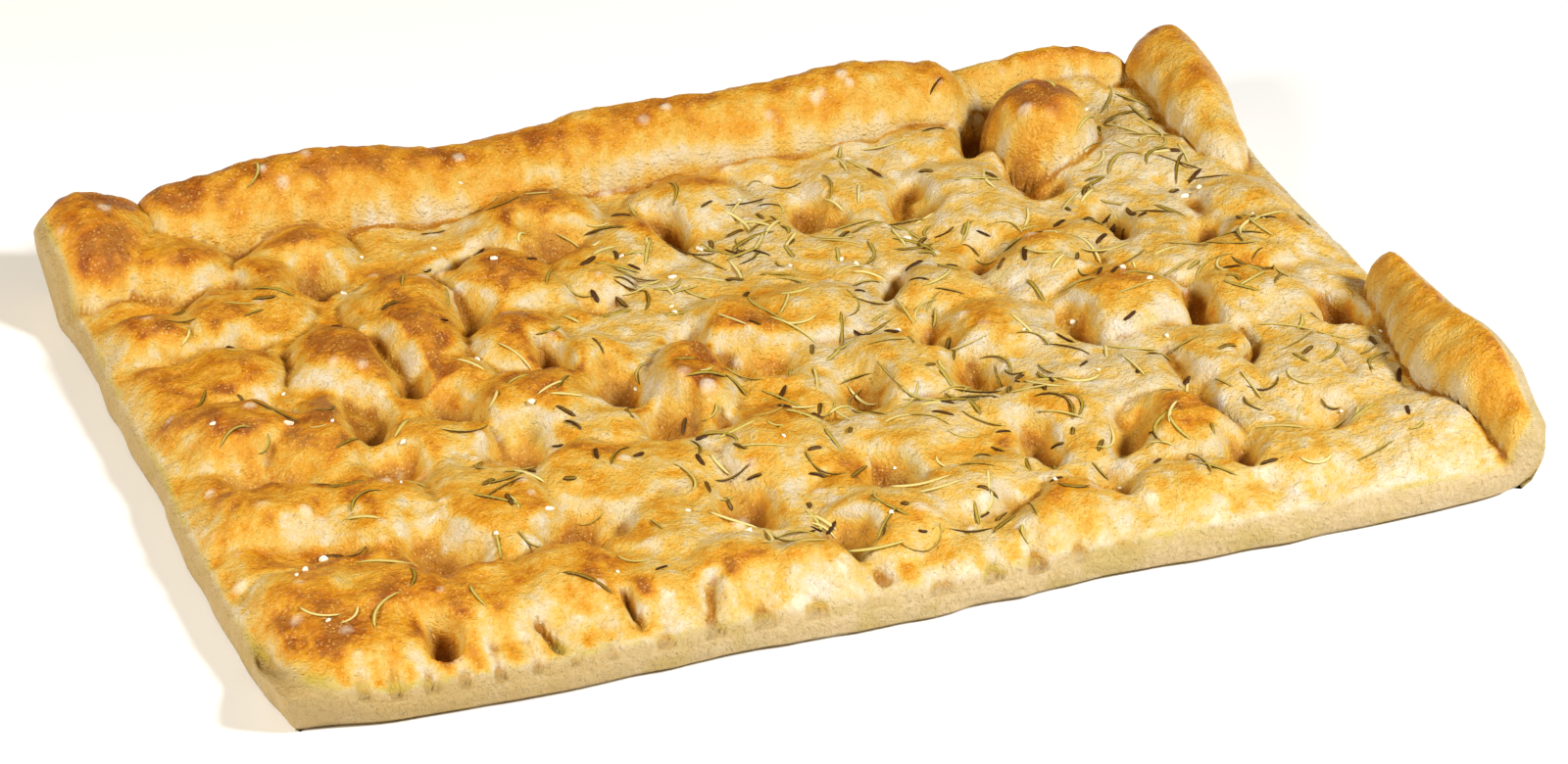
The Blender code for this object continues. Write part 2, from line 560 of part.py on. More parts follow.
def rim_order(columns, rows):
    """Grid places round the outside, once, counter-clockwise."""
    front = [(i, 0) for i in range(columns - 1)]
    right = [(columns - 1, j) for j in range(rows - 1)]
    back = [(i, rows - 1) for i in range(columns - 1, 0, -1)]
    left = [(0, j) for j in range(rows - 1, 0, -1)]
    return front + right + back + left


def dough_mesh(step):
    """Points and faces of the whole slab: top, upright band and flat base."""
    plan_x, plan_y = plan_grid(step)
    columns, rows = plan_x.shape
    x, y, z, depth, on_roll = surface(plan_x, plan_y)
    points = np.stack([x, y, z], axis=2).reshape(-1, 3)
    index = np.arange(columns * rows).reshape(columns, rows)
    faces = [(index[i, j], index[i + 1, j], index[i + 1, j + 1], index[i, j + 1])
             for i in range(columns - 1) for j in range(rows - 1)]
    rim = np.array([index[i, j] for i, j in rim_order(columns, rows)])
    loop = points[rim]
    run = np.roll(loop, -1, axis=0) - np.roll(loop, 1, axis=0)
    outward = np.stack([run[:, 1], -run[:, 0], np.zeros(len(rim))], axis=1)
    outward /= np.linalg.norm(outward, axis=1)[:, None]
    rings = [rim]
    layers = [points]
    total = len(points)
    to_corner = np.hypot(LENGTH / 2 - np.abs(loop[:, 0]), WIDTH / 2 - np.abs(loop[:, 1]))
    tuck = CORNER_TUCK * (1 - ramp(0, CORNER_TUCK_RUN, to_corner))
    tuck = tuck + BASE_WAVE[1] + noise(loop[:, 0], loop[:, 1], BASE_WAVE)
    levels = [(share * loop[:, 2], bulge - tuck * (1 - share)) for share, bulge in BAND_RINGS]
    levels.append((np.full(len(rim), BASE_EDGE), -tuck))
    levels.append((np.zeros(len(rim)), -BASE_EDGE - tuck))
    for level, bulge in levels:
        ring = loop + outward * bulge[:, None]
        ring[:, 2] = level
        layers.append(ring)
        rings.append(np.arange(total, total + len(rim)))
        total += len(rim)
    for upper, lower in zip(rings, rings[1:]):
        faces += [(upper[k], lower[k], lower[k - len(rim) + 1], upper[k - len(rim) + 1])
                  for k in range(len(rim))]
    layers.append(np.array([[0.0, 0.0, 0.0]]))
    base = rings[-1]
    faces += [(base[k], total, base[k - len(rim) + 1]) for k in range(len(rim))]
    return np.concatenate(layers), faces


def make_object(name, points, faces, material):
    mesh = bpy.data.meshes.new(name)
    mesh.from_pydata([tuple(p) for p in points], [], [tuple(int(i) for i in f) for f in faces])
    mesh.materials.append(material)
    thing = bpy.data.objects.new(name, mesh)
    bpy.context.scene.collection.objects.link(thing)
    return thing


def make_material(name, colour, roughness):
    material = bpy.data.materials.new(name)
    material.use_nodes = True
    shader = material.node_tree.nodes["Principled BSDF"]
    shader.inputs["Base Color"].default_value = colour
    shader.inputs["Roughness"].default_value = roughness
    shader.inputs["Metallic"].default_value = 0.0
    material.diffuse_color = colour
    return material


def apply_modifiers(thing):
    depsgraph = bpy.context.evaluated_depsgraph_get()
    made = bpy.data.meshes.new_from_object(thing.evaluated_get(depsgraph))
    old = thing.data
    thing.modifiers.clear()
    thing.data = made
    bpy.data.meshes.remove(old)


def make_dough(material):
    points, faces = dough_mesh(GRID_STEP)
    dough = make_object("focaccia", points, faces, material)
    shape = bmesh.new()
    shape.from_mesh(dough.data)
    bmesh.ops.triangulate(shape, faces=shape.faces[:])
    count = len(shape.faces)
    shape.to_mesh(dough.data)
    shape.free()
    thin = dough.modifiers.new("Thin out", "DECIMATE")
    thin.ratio = DOUGH_TRIANGLES / count
    apply_modifiers(dough)
    return dough


def topping_share(x, y):
    """How likely a needle lies at a place: most in pits and right of the middle."""
    _, _, _, depth, on_roll = surface(x, y)
    sunk = np.clip(depth / NEEDLE_PIT_DEPTH, 0, 1)
    share = through(NEEDLES_ACROSS, x / LENGTH + 0.5) * ramp(*NEEDLE_EDGE, from_edge(x, y))
    thin_from, thin_to, thinned = NEEDLE_BACK
    share = share * (1 - (1 - thinned) * ramp(thin_from, thin_to, y)) * (1 - on_roll)
    return share * (NEEDLES_OUT_OF_PITS + (1 - NEEDLES_OUT_OF_PITS) * sunk)


def spread_needles(count, gap, seed):
    """Middle, heading, length and bend of each needle, by seeded draws."""
    draws = np.random.default_rng(seed).uniform(0, 1, (NEEDLE_TRIES, 6))
    xs = (draws[:, 0] - 0.5) * LENGTH
    ys = (draws[:, 1] - 0.5) * WIDTH
    shortest, longest = NEEDLE_LENGTH
    needles = []
    for k in np.flatnonzero(topping_share(xs, ys) > draws[:, 2]):
        if any(math.hypot(xs[k] - n[0], ys[k] - n[1]) < gap for n in needles):
            continue
        heading = 2 * math.pi * draws[k, 3]
        length = shortest + (longest - shortest) * draws[k, 4]
        swing = 2 * draws[k, 5] - 1
        bend = NEEDLE_BEND * swing * abs(swing)
        needles.append((xs[k], ys[k], heading, length, bend))
        if len(needles) == count:
            break
    return needles


def needle_line(needle, share):
    """A point in the plan along a bent needle, for shares from -0.5 to 0.5."""
    x, y, heading, length, bend = needle
    turn = heading + bend * share * 2
    return x + math.cos(turn) * length * share, y + math.sin(turn) * length * share


def top_height(tree, x, y):
    """Height of the dough's top at a place, seen from straight above."""
    hit = tree.ray_cast(Vector((x, y, 1.0)), Vector((0, 0, -1)))
    return hit[0].z


def needle_solid(needle, tree):
    """A thin leaf, three-sided with a ridge on top, or nothing where the top is too steep."""
    points = []
    for share in NEEDLE_STATIONS:
        x, y = needle_line(needle, share)
        ahead_x, ahead_y = needle_line(needle, share + NEEDLE_AHEAD)
        z = top_height(tree, x, y)
        across = Vector((y - ahead_y, ahead_x - x, 0)).normalized()
        full = 1 - abs(2 * share) ** 3
        half = NEEDLE_WIDTH * (NEEDLE_TIP + (1 - NEEDLE_TIP) * full) / 2
        foot = Vector((x, y, z - NEEDLE_SINK))
        ridge = Vector((x, y, z + NEEDLE_HEIGHT * full))
        points += [foot - across * half, foot + across * half, ridge]
    levels = [ridge.z for ridge in points[2::3]]
    if max(levels) - min(levels) > NEEDLE_MOST_RISE:
        return None
    faces = [(0, 1, 2)]
    for low in range(0, len(points) - 3, 3):
        faces += [(low + i, low + 3 + i, low + 3 + (i + 1) % 3, low + (i + 1) % 3) for i in range(3)]
    last = len(points) - 3
    faces.append((last + 2, last + 1, last))
    return points, faces


def add_topping(name, points, faces, material, group):
    piece = make_object(name, points, faces, material)
    bpy.context.scene.collection.objects.unlink(piece)
    group.objects.link(piece)


def make_needles(tree, group, material):
    for needle in spread_needles(NEEDLE_COUNT, NEEDLE_GAP, NEEDLE_SEED):
        made = needle_solid(needle, tree)
        if made:
            add_topping("needle", *made, material, group)


def spread_salt(count, seed):
    """Place, size and turn of each coarse salt crystal, by seeded draws."""
    draw = np.random.default_rng(seed)
    crystals = []
    while len(crystals) < count:
        x, y = draw.uniform(*SALT_AREA)
        size = draw.uniform(*SALT_SIZE)
        turn = draw.uniform(0, math.pi)
        if all(math.hypot(x - c[0], y - c[1]) > SALT_GAP for c in crystals):
            crystals.append((x, y, size, turn))
    return crystals


def make_salt(tree, group, material):
    for x, y, size, turn in spread_salt(SALT_COUNT, SALT_SEED):
        z = top_height(tree, x, y)
        cos, sin = math.cos(turn), math.sin(turn)
        points = []
        for level, width in SALT_LEVELS:
            for a, b in ((-1, -1), (1, -1), (1, 1), (-1, 1)):
                along = a * size * width / 2
                across = b * size * width / 2 * SALT_FLATNESS
                place = (x + along * cos - across * sin, y + along * sin + across * cos)
                points.append((*place, z + level * size))
        faces = [(3, 2, 1, 0), (4, 5, 6, 7)]
        faces += [(i, (i + 1) % 4, 4 + (i + 1) % 4, 4 + i) for i in range(4)]
        add_topping("salt", points, faces, material, group)


def keep_largest(thing):
    """Keeps the body with the most points: drops loose scraps and fills sealed hollows."""
    shape = bmesh.new()
    shape.from_mesh(thing.data)
    bmesh.ops.triangulate(shape, faces=shape.faces[:])
    left = set(shape.verts)
    bodies = []
    while left:
        body = {left.pop()}
        front = list(body)
        while front:
            vert = front.pop()
            near = [edge.other_vert(vert) for edge in vert.link_edges]
            fresh = [other for other in near if other not in body]
            body.update(fresh)
            front += fresh
        left -= body
        bodies.append(body)
    bodies.sort(key=len)
    scraps = [vert for body in bodies[:-1] for vert in body]
    bmesh.ops.delete(shape, geom=scraps, context="VERTS")
    shape.to_mesh(thing.data)
    shape.free()


def settle(thing):
    """Moves the slab so that the middle of its box is over the origin."""
    points = np.array([vertex.co for vertex in thing.data.vertices])
    middle = (points.min(axis=0) + points.max(axis=0)) / 2
    shift = Vector((-middle[0], -middle[1], -points[:, 2].min()))
    for vertex in thing.data.vertices:
        vertex.co += shift


def main():
    for thing in list(bpy.data.objects):
        bpy.data.objects.remove(thing, do_unlink=True)
    material = make_material("Baked dough", DOUGH_COLOUR, DOUGH_ROUGHNESS)
    dough = make_dough(material)
    settle(dough)
    tree = BVHTree.FromPolygons([vertex.co.copy() for vertex in dough.data.vertices],
                                [tuple(face.vertices) for face in dough.data.polygons])
    toppings = bpy.data.collections.new("Toppings")
    bpy.context.scene.collection.children.link(toppings)
    make_needles(tree, toppings, material)
    make_salt(tree, toppings, material)
    join = dough.modifiers.new("Join toppings", "BOOLEAN")
    join.operation = "UNION"
    join.operand_type = "COLLECTION"
    join.collection = toppings
    join.solver = "EXACT"
    apply_modifiers(dough)
    for piece in list(toppings.objects):
        bpy.data.objects.remove(piece, do_unlink=True)
    bpy.data.collections.remove(toppings)
    keep_largest(dough)
    dough.data.shade_smooth()


if __name__ == "__main__":
    main()
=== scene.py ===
# The looks of a whole gluten-free focaccia: its baked dough as a fine mesh with browned
# crests, pale flanks and oily pits, its rosemary needles and its salt. Its colours also paint
# shade into pits, hollows and creases, and highlights on flanks facing the camera and on bumps.
#
# Metres, in the frame of the imported solid: +Z up, the long side along X, the rolled crust
# at +Y. The dough is worked out from the same named sizes as the solid, on a finer grid.

import math
from collections import namedtuple
from functools import cache

import bmesh
import bpy
import numpy as np
from mathutils import Matrix, Vector
from mathutils.bvhtree import BVHTree


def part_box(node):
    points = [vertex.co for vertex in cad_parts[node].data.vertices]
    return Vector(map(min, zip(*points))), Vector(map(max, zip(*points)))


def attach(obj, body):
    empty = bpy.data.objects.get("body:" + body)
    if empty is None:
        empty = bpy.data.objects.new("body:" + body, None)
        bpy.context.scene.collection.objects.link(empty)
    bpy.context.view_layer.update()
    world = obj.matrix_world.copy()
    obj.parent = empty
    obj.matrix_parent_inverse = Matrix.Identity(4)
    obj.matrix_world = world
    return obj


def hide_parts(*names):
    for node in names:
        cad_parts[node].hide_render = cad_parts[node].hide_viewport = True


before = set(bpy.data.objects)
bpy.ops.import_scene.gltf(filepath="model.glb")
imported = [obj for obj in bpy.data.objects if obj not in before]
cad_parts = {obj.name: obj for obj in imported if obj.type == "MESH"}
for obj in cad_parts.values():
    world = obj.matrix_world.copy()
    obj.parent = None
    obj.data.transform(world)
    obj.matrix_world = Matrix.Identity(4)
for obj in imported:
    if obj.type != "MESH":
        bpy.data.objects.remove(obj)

# Slab
LENGTH = 0.400
WIDTH = 0.288
LEVEL = 0.0200  # height of the top between its swellings
TRAY_BAND = 0.0080  # upright band that the tray wall shaped
SHOULDER = 0.018  # run of the slope from the band up to the top
SHOULDER_POWER = 1.7  # how convex that slope is
CORNER = 0.005  # corner radius of the base
TOP_CORNER = 0.009  # corner radius of the top's shoulder
BASE_EDGE = 0.0015  # small round where the band meets the tray's floor
CORNER_TUCK = 0.0045  # how far each corner of the base draws in under the band
CORNER_TUCK_RUN = 0.040

# Corners where the upright band stands higher: x, y, rise, run
HIGH_CORNERS = ((-0.199, -0.143, 0.0080, 0.034), (-0.199, 0.143, 0.0040, 0.034),
                (0.196, 0.142, 0.0050, 0.030), (0.195, -0.140, 0.0025, 0.020))

# How far each side of the base lies from the middle, at even steps along it
LEFT_SIDE = (-0.1990, -0.1990, -0.1995, -0.2000, -0.1998, -0.1996, -0.1983, -0.1992, -0.1994,
             -0.1986, -0.1988, -0.2006, -0.2004)
RIGHT_SIDE = (0.1950, 0.1960, 0.1965, 0.1960, 0.1958, 0.1965, 0.1945)
FRONT_SIDE = (-0.1432, -0.1448, -0.1448, -0.1436, -0.1440, -0.1412, -0.1418, -0.1410, -0.1395)
BACK_SIDE = (0.1415, 0.1436, 0.1440, 0.1432, 0.1438, 0.1440, 0.1438, 0.1405, 0.1425)

# Oval places on the top. Each has the x and y of its middle, its half width and its half
# length, then how deep, how high or how strong it is, and its turn in degrees unless 0
Oval = namedtuple("Oval", "x y half_width half_length amount turn", defaults=(0,))

# Finger pits and creases, with their depth
PITS = (
    # Front row
    (-0.147, -0.131, 0.0055, 0.006, 0.013), (-0.117, -0.136, 0.0035, 0.009, 0.008, 5),
    (-0.093, -0.132, 0.0035, 0.009, 0.008), (-0.07, -0.133, 0.004, 0.012, 0.007, -50),
    (-0.018, -0.121, 0.01, 0.011, 0.01, 10), (-0.013, -0.137, 0.0035, 0.008, 0.007, 15),
    (0.031, -0.121, 0.011, 0.014, 0.0065, -50), (0.067, -0.114, 0.009, 0.011, 0.009),
    (0.106, -0.113, 0.007, 0.01, 0.01), (0.14, -0.103, 0.013, 0.009, 0.008),
    # Second row
    (-0.168, -0.07, 0.022, 0.012, 0.007, -12), (-0.134, -0.089, 0.012, 0.014, 0.013),
    (-0.091, -0.09, 0.012, 0.014, 0.013), (-0.041, -0.091, 0.01, 0.013, 0.013),
    (0.008, -0.09, 0.009, 0.013, 0.013), (0.052, -0.087, 0.009, 0.013, 0.012),
    (0.08, -0.09, 0.008, 0.014, 0.01, -30), (0.11, -0.078, 0.006, 0.042, 0.007),
    (0.135, -0.054, 0.004, 0.016, 0.008, -10), (0.158, -0.075, 0.0028, 0.017, 0.004),
    # Third row
    (-0.169, -0.025, 0.021, 0.011, 0.01, -15), (-0.131, -0.037, 0.012, 0.011, 0.011),
    (-0.094, -0.039, 0.011, 0.012, 0.011), (-0.045, -0.039, 0.01, 0.011, 0.012),
    (-0.031, -0.041, 0.006, 0.009, 0.008), (0.014, -0.038, 0.011, 0.011, 0.01),
    (0.052, -0.04, 0.009, 0.01, 0.011), (0.092, -0.026, 0.006, 0.015, 0.01, 5),
    (0.13, -0.026, 0.006, 0.014, 0.01, -10), (0.172, -0.041, 0.009, 0.009, 0.013),
    # Fourth row
    (-0.134, -0.007, 0.009, 0.013, 0.012), (-0.105, -0.008, 0.009, 0.012, 0.012),
    (-0.116, 0.01, 0.006, 0.01, 0.011), (-0.158, 0.013, 0.005, 0.02, 0.008, 35),
    (-0.057, -0.011, 0.009, 0.012, 0.012), (-0.009, -0.012, 0.012, 0.011, 0.009),
    (0.047, -0.015, 0.009, 0.011, 0.01, -20), (-0.068, 0.009, 0.005, 0.01, 0.013),
    (-0.026, 0.005, 0.007, 0.01, 0.011), (0.109, 0.012, 0.011, 0.006, 0.007),
    (0.154, 0.019, 0.008, 0.011, 0.012),
    # Fifth row
    (-0.116, 0.028, 0.004, 0.022, 0.007, -3), (-0.086, 0.041, 0.008, 0.009, 0.009),
    (-0.088, 0.044, 0.004, 0.018, 0.006, -5), (-0.046, 0.04, 0.009, 0.007, 0.007, 15),
    (0.047, 0.022, 0.005, 0.012, 0.009, -30), (0.08, 0.027, 0.008, 0.01, 0.009, -25),
    (0.131, 0.038, 0.005, 0.014, 0.011, -15), (0.16, 0.042, 0.004, 0.012, 0.006, -20),
    (-0.181, 0.052, 0.01, 0.006, 0.006), (-0.155, 0.052, 0.012, 0.005, 0.007),
    # Sixth row
    (-0.178, 0.086, 0.024, 0.005, 0.006, 5), (-0.15, 0.088, 0.005, 0.012, 0.006, 20),
    (-0.125, 0.084, 0.009, 0.014, 0.012, -32), (-0.08, 0.081, 0.006, 0.013, 0.008, -58),
    (-0.045, 0.081, 0.014, 0.01, 0.012, 10), (-0.009, 0.075, 0.006, 0.013, 0.013),
    (0.04, 0.075, 0.01, 0.011, 0.012), (0.072, 0.071, 0.007, 0.012, 0.011, -15),
    (0.117, 0.073, 0.009, 0.009, 0.013), (0.112, 0.11, 0.006, 0.018, 0.014, -38),
    (0.161, 0.126, 0.005, 0.005, 0.006),
)

# Swellings between the pits, with their rise
PILLOWS = (
    # Front rim
    (-0.172, -0.112, 0.03, 0.026, 0.004), (-0.152, -0.106, 0.026, 0.013, 0.006, -8),
    (-0.176, -0.1, 0.02, 0.012, 0.006, -8), (-0.13, -0.116, 0.017, 0.016, 0.006),
    (-0.103, -0.113, 0.014, 0.015, 0.006), (-0.084, -0.124, 0.014, 0.014, 0.004),
    (-0.058, -0.126, 0.016, 0.014, 0.006, 25), (-0.036, -0.134, 0.012, 0.014, 0.006),
    (-0.004, -0.114, 0.015, 0.016, 0.006), (0.022, -0.106, 0.018, 0.012, 0.005, 10),
    (0.045, -0.128, 0.018, 0.012, 0.006, 25), (0.087, -0.122, 0.018, 0.012, 0.004),
    (0.125, -0.119, 0.018, 0.012, 0.004), (0.162, -0.118, 0.022, 0.018, 0.003),
    # Between the first two rows of pits
    (-0.175, -0.048, 0.024, 0.011, 0.006, -8), (-0.146, -0.058, 0.016, 0.014, 0.006),
    (-0.113, -0.068, 0.015, 0.02, 0.005, -10), (-0.08, -0.062, 0.018, 0.016, 0.005),
    (-0.066, -0.1, 0.012, 0.018, 0.004), (-0.055, -0.062, 0.012, 0.012, 0.004),
    (-0.02, -0.062, 0.016, 0.02, 0.006), (0.018, -0.066, 0.022, 0.014, 0.004),
    (0.066, -0.068, 0.018, 0.016, 0.004), (0.094, -0.094, 0.013, 0.018, 0.007, -15),
    (0.092, -0.058, 0.014, 0.014, 0.003), (0.123, -0.062, 0.011, 0.022, 0.005, -8),
    (0.148, -0.076, 0.016, 0.02, 0.004),
    # Between the second and third rows
    (-0.176, 0.001, 0.024, 0.015, 0.009, -12), (-0.15, -0.012, 0.012, 0.02, 0.007, -35),
    (-0.118, -0.024, 0.018, 0.008, 0.004), (-0.082, -0.014, 0.015, 0.016, 0.007),
    (-0.033, -0.02, 0.009, 0.02, 0.008, -12), (-0.07, -0.032, 0.012, 0.012, 0.004),
    (0.032, -0.028, 0.016, 0.018, 0.006), (0.068, -0.014, 0.015, 0.016, 0.006),
    (0.11, -0.016, 0.017, 0.017, 0.008), (0.15, -0.024, 0.018, 0.016, 0.006),
    (0.158, -0.002, 0.014, 0.01, 0.005),
    # Middle
    (-0.184, 0.03, 0.014, 0.016, 0.004), (-0.166, 0.034, 0.014, 0.012, 0.006),
    (-0.131, 0.03, 0.012, 0.02, 0.008, -5), (-0.104, 0.048, 0.011, 0.03, 0.009, -5),
    (-0.1, 0.008, 0.01, 0.012, 0.004), (-0.076, 0.026, 0.012, 0.013, 0.006),
    (-0.056, 0.006, 0.009, 0.01, 0.005), (-0.008, 0.012, 0.01, 0.015, 0.006),
    (0.014, 0.014, 0.016, 0.014, 0.006), (0.06, 0.014, 0.011, 0.012, 0.005, -15),
    (0.097, 0.018, 0.015, 0.014, 0.007, -15), (0.135, 0.01, 0.012, 0.014, 0.004),
    (0.176, 0.012, 0.014, 0.012, 0.005), (0.176, 0.038, 0.014, 0.014, 0.005),
    # Back
    (-0.18, 0.068, 0.012, 0.011, 0.006), (-0.158, 0.07, 0.01, 0.016, 0.006),
    (-0.14, 0.08, 0.01, 0.026, 0.006, -5), (-0.122, 0.104, 0.014, 0.01, 0.007),
    (-0.167, 0.112, 0.022, 0.013, 0.01, -35), (-0.07, 0.06, 0.017, 0.018, 0.007),
    (-0.048, 0.097, 0.021, 0.013, 0.009), (-0.042, 0.058, 0.012, 0.014, 0.005),
    (-0.022, 0.074, 0.009, 0.016, 0.005), (0.006, 0.095, 0.014, 0.013, 0.006),
    (0.055, 0.086, 0.012, 0.018, 0.004, -10), (0.09, 0.07, 0.015, 0.028, 0.006, -10),
    (0.09, 0.108, 0.013, 0.013, 0.006), (0.143, 0.124, 0.018, 0.009, 0.006),
    (0.155, 0.074, 0.018, 0.016, 0.004),
)

# Each pit is a steep core in a soft slope, and both run out further towards the back
CORE = (0.60, 0.0035, 0.0060, 1.5)  # share of its depth, growth, more at its back, power
SLOPE = (0.46, 0.0080, 0.0140, 2.0)
WIDE_PIT = 0.009  # a narrower crease grows by less, in proportion
PIT_BLEND = 0.0020
PILLOW_GAIN = 1.20
PILLOW_GROW = 0.008
PILLOW_BLEND = 0.0012

# Small swellings that fill the rest of the top, one to a cell, by seeded draws
FILL_STEP = 0.021
FILL_SIZE = (0.009, 0.015)
FILL_RISE = (0.0010, 0.0030)
FILL_SEED = 12

# Rolled crusts, the knob and the bubble. Each lies along one axis from start to end, closes
# over end_runs at its two ends, and has values at even steps along it: its centre line, its
# half width to the middle of the slab and to the outside, and the height of its crest.
# to_middle is the direction of the slab's middle, and the leans are its overhangs in half
# widths.
Roll = namedtuple("Roll", "axis start end end_runs centre inside outside crest "
                          "to_middle lean_in lean_out")
BACK_ROLL = Roll("x", -0.158, 0.100, (0.016, 0.016), (0.1315,), (0.0200,), (0.0125,),
                 (0.0345, 0.0385, 0.0395, 0.0370, 0.0325, 0.0340, 0.0368, 0.0371, 0.0369,
                  0.0375, 0.0388, 0.0350), -1, 0.10, 0.16)
LOW_RIM = Roll("x", 0.112, 0.166, (0.010, 0.010), (0.133,), (0.009,), (0.010,),
               (0.0290, 0.0295, 0.0315, 0.0305, 0.0265), -1, 0.07, 0.08)
KNOB = Roll("y", 0.126, 0.130, (0.032, 0.0170), (-0.1880,), (0.0280,), (0.0165,),
            (0.0375, 0.0375), 1, 0.05, 0.10)
DOME = Roll("y", 0.0950, 0.1010, (0.0175, 0.0165), (0.1285,), (0.0185,), (0.0185,),
            (0.0370, 0.0370), -1, 0.08, 0.08)
RIGHT_ROLL = Roll("y", 0.078, 0.127, (0.020, 0.0145), (0.1820, 0.1850, 0.1860),
                  (0.0100, 0.0130, 0.0150), (0.0095, 0.0105, 0.0115),
                  (0.0260, 0.0325, 0.0350, 0.0355), -1, 0.18, 0.20)
FLAP = Roll("y", -0.132, -0.040, (0.010, 0.016),
            (0.1905, 0.1915, 0.1925, 0.1915, 0.1915, 0.1925),
            (0.0075, 0.0135, 0.0185, 0.0160, 0.0115, 0.0085),
            (0.0050, 0.0055, 0.0060, 0.0055, 0.0050, 0.0045),
            (0.0270, 0.0365, 0.0375, 0.0345, 0.0330, 0.0315), -1, 0.16, 0.90)
ROLLS = (BACK_ROLL, LOW_RIM, KNOB, DOME, RIGHT_ROLL, FLAP)
CREASE_BLEND = 0.0016  # how softly a roll meets the top
ROLL_SHOWS = (-0.001, 0.003)  # heights over the top at which a roll takes over
ROLL_BULGE = 3  # power that sets how far out a roll's overhang is widest

# Kinds of smooth seeded noise: step of the lattice, reach, seed
SWELL = (0.060, 0.0016, 1)  # height
LUMP = (0.016, 0.0008, 2)  # height
CLOD = (0.008, 0.0004, 13)  # height
WANDER_X = (0.0170, 0.0026, 8)  # shift of the outlines of pits and swellings
WANDER_X_FINE = (0.0085, 0.0018, 9)
WANDER_Y = (0.0170, 0.0026, 10)
WANDER_Y_FINE = (0.0085, 0.0018, 11)
SHOULDER_DRIFT = (0.026, 0.32, 14)  # share of the shoulder's run
GROOVE_DRIFT = (0.050, 2.4, 3)  # radians
GROOVE_STRENGTH = (0.024, 0.35, 16)  # share of a groove's depth
BASE_WAVE = (0.014, 0.0008, 15)  # shift of the base's outline
WRINKLE_DRIFT = (0.035, 4.0, 5)  # radians
WRINKLE_FADE = (0.030, 0.5, 6)  # share
NOISE_REACH = 0.240  # the noise fields cover this far from the middle

# Flutes that run down the front edge's slope, with grooves between them, and wrinkles low
# on the inner face of a roll
GROOVE_CHANGE = -0.100  # place along the edge where the flutes change
GROOVE_STEP = 0.0105  # to its left
GROOVE_WIDE_STEP = 0.0165  # to its right
GROOVE_DEPTH = 0.0050  # how far a groove draws the slope back
GROOVE_POWER = 1.4  # how narrow a groove is beside its flutes
GROOVE_START = (-0.001, 0.003)  # in from the edge: they begin and are full
GROOVE_STOP = (0.012, 0.034)  # in from the edge: they fade and end
GROOVE_FRONT = (0.100, 0.120)  # in front of the middle: they begin and are full
GROOVE_RIGHT = (0.000, 0.150)  # right of the middle: they fade and end
WRINKLE_STEP = 0.0125
WRINKLE_DEPTH = 0.0008
WRINKLE_FACE = (0.25, 0.60)  # shares of a roll's half width where they begin
WRINKLE_MEAN = 0.5  # mean share of their depth

PIT_EDGE_FADE = 0.006  # pits fade out over this run at the sides
LOWEST_TOP = 0.0075

# The top's relief is worked out on a lattice, and what stands out from its mean within a
# reach is strengthened: reach, gain for crests, gain for creases
RELIEF_STEP = 0.0010
STRONGER = ((0.0030, 0.10, 0.70), (0.0070, 0.15, 0.20))

# Rosemary and salt
NEEDLE_COUNT = 108
NEEDLE_TRIES = 6000
NEEDLE_LENGTH = (0.011, 0.020)
NEEDLE_BEND = 0.6  # most it turns from its middle to an end, in radians
NEEDLE_MOST_RISE = 0.0050  # between its lowest and its highest place
NEEDLE_GAP = 0.0105  # least distance between the middles of two needles
NEEDLE_SEED = 48
NEEDLES_ACROSS = (0.10, 0.25, 0.35, 0.85, 1.0, 1.0, 0.9, 0.7)  # shares from left to right
NEEDLES_OUT_OF_PITS = 0.30  # share of them on ground that isn't sunk
NEEDLE_PIT_DEPTH = 0.008  # depth from which they all stay
NEEDLE_EDGE = (0.004, 0.026)  # they begin and are full this far from the sides
NEEDLE_BACK = (0.100, 0.116, 0.3)  # they thin out from here to here, to this share
SALT_COUNT = 12
SALT_SIZE = (0.0026, 0.0038)
SALT_AREA = ((-0.17, -0.11), (0.16, 0.09))
SALT_GAP = 0.030
SALT_SEED = 7

# Mesh of the dough
GRID_STEP = 0.0012
EDGE_STEPS = (0.25, 0.35, 0.50, 0.70, 0.85)  # the first steps in from each side
BAND_SHARES = (0.92, 0.84, 0.76, 0.68, 0.60, 0.52, 0.44, 0.36, 0.28, 0.20)
BAND_BULGE = (0.0002, 0.0004, 0.0006, 0.0008, 0.0006, 0.0)  # from its foot to its top
BAND_FADE = (-0.0005, 0.0055)  # its look fades out between these heights over it
BAND_REACH = (0.006, 0.013)  # and these distances in from the edge
BAND_EDGE = 0.0030  # it is full at the edge and can fade from this far in
BAND_STRETCH = 0.35  # the noise of its roughness is drawn out along it by this,
BAND_ROWS = (-0.3, 0.1)  # and is read in these rows on its left and its right half

# Fine relief: kinds of noise, then scattered dots
GRAIN = (0.0048, 0.00034, 21)
FINE_GRAIN = (0.0026, 0.00024, 22)
BAND_ROUGH = (0.0030, 0.00035, 23)
SKIN_FOLD = (0.0110, 0.00050, 24)
FIELD_STEP = 0.0005  # cell of the field that dots are drawn on
Dots = namedtuple("Dots", "count small large height seed")
BLISTERS = Dots(2600, 0.0008, 0.0019, 0.00032, 31)
BUBBLES = Dots(210, 0.0018, 0.0036, 0.00075, 32)
DIMPLES = Dots(500, 0.0010, 0.0026, -0.00050, 33)
DOT_HEIGHTS = (0.4, 1.0)  # least and most share of its height a dot has
DOT_LEVEL = (0.50, 0.85)  # upward share of the normal where bubbles fade in
BUMP_HIGHLIGHT_FULL = 0.0005  # relief at which the painted highlight on the skin's bumps is full
SMOOTHER = 0.85  # share of the relief on crests
ROUGHER = 0.70  # added to it in pits and hollows
ROUGH_DEPTH = 0.010  # depth of a pit where all of that is added
FOOT_FADE = 0.002  # height over which the relief fades in

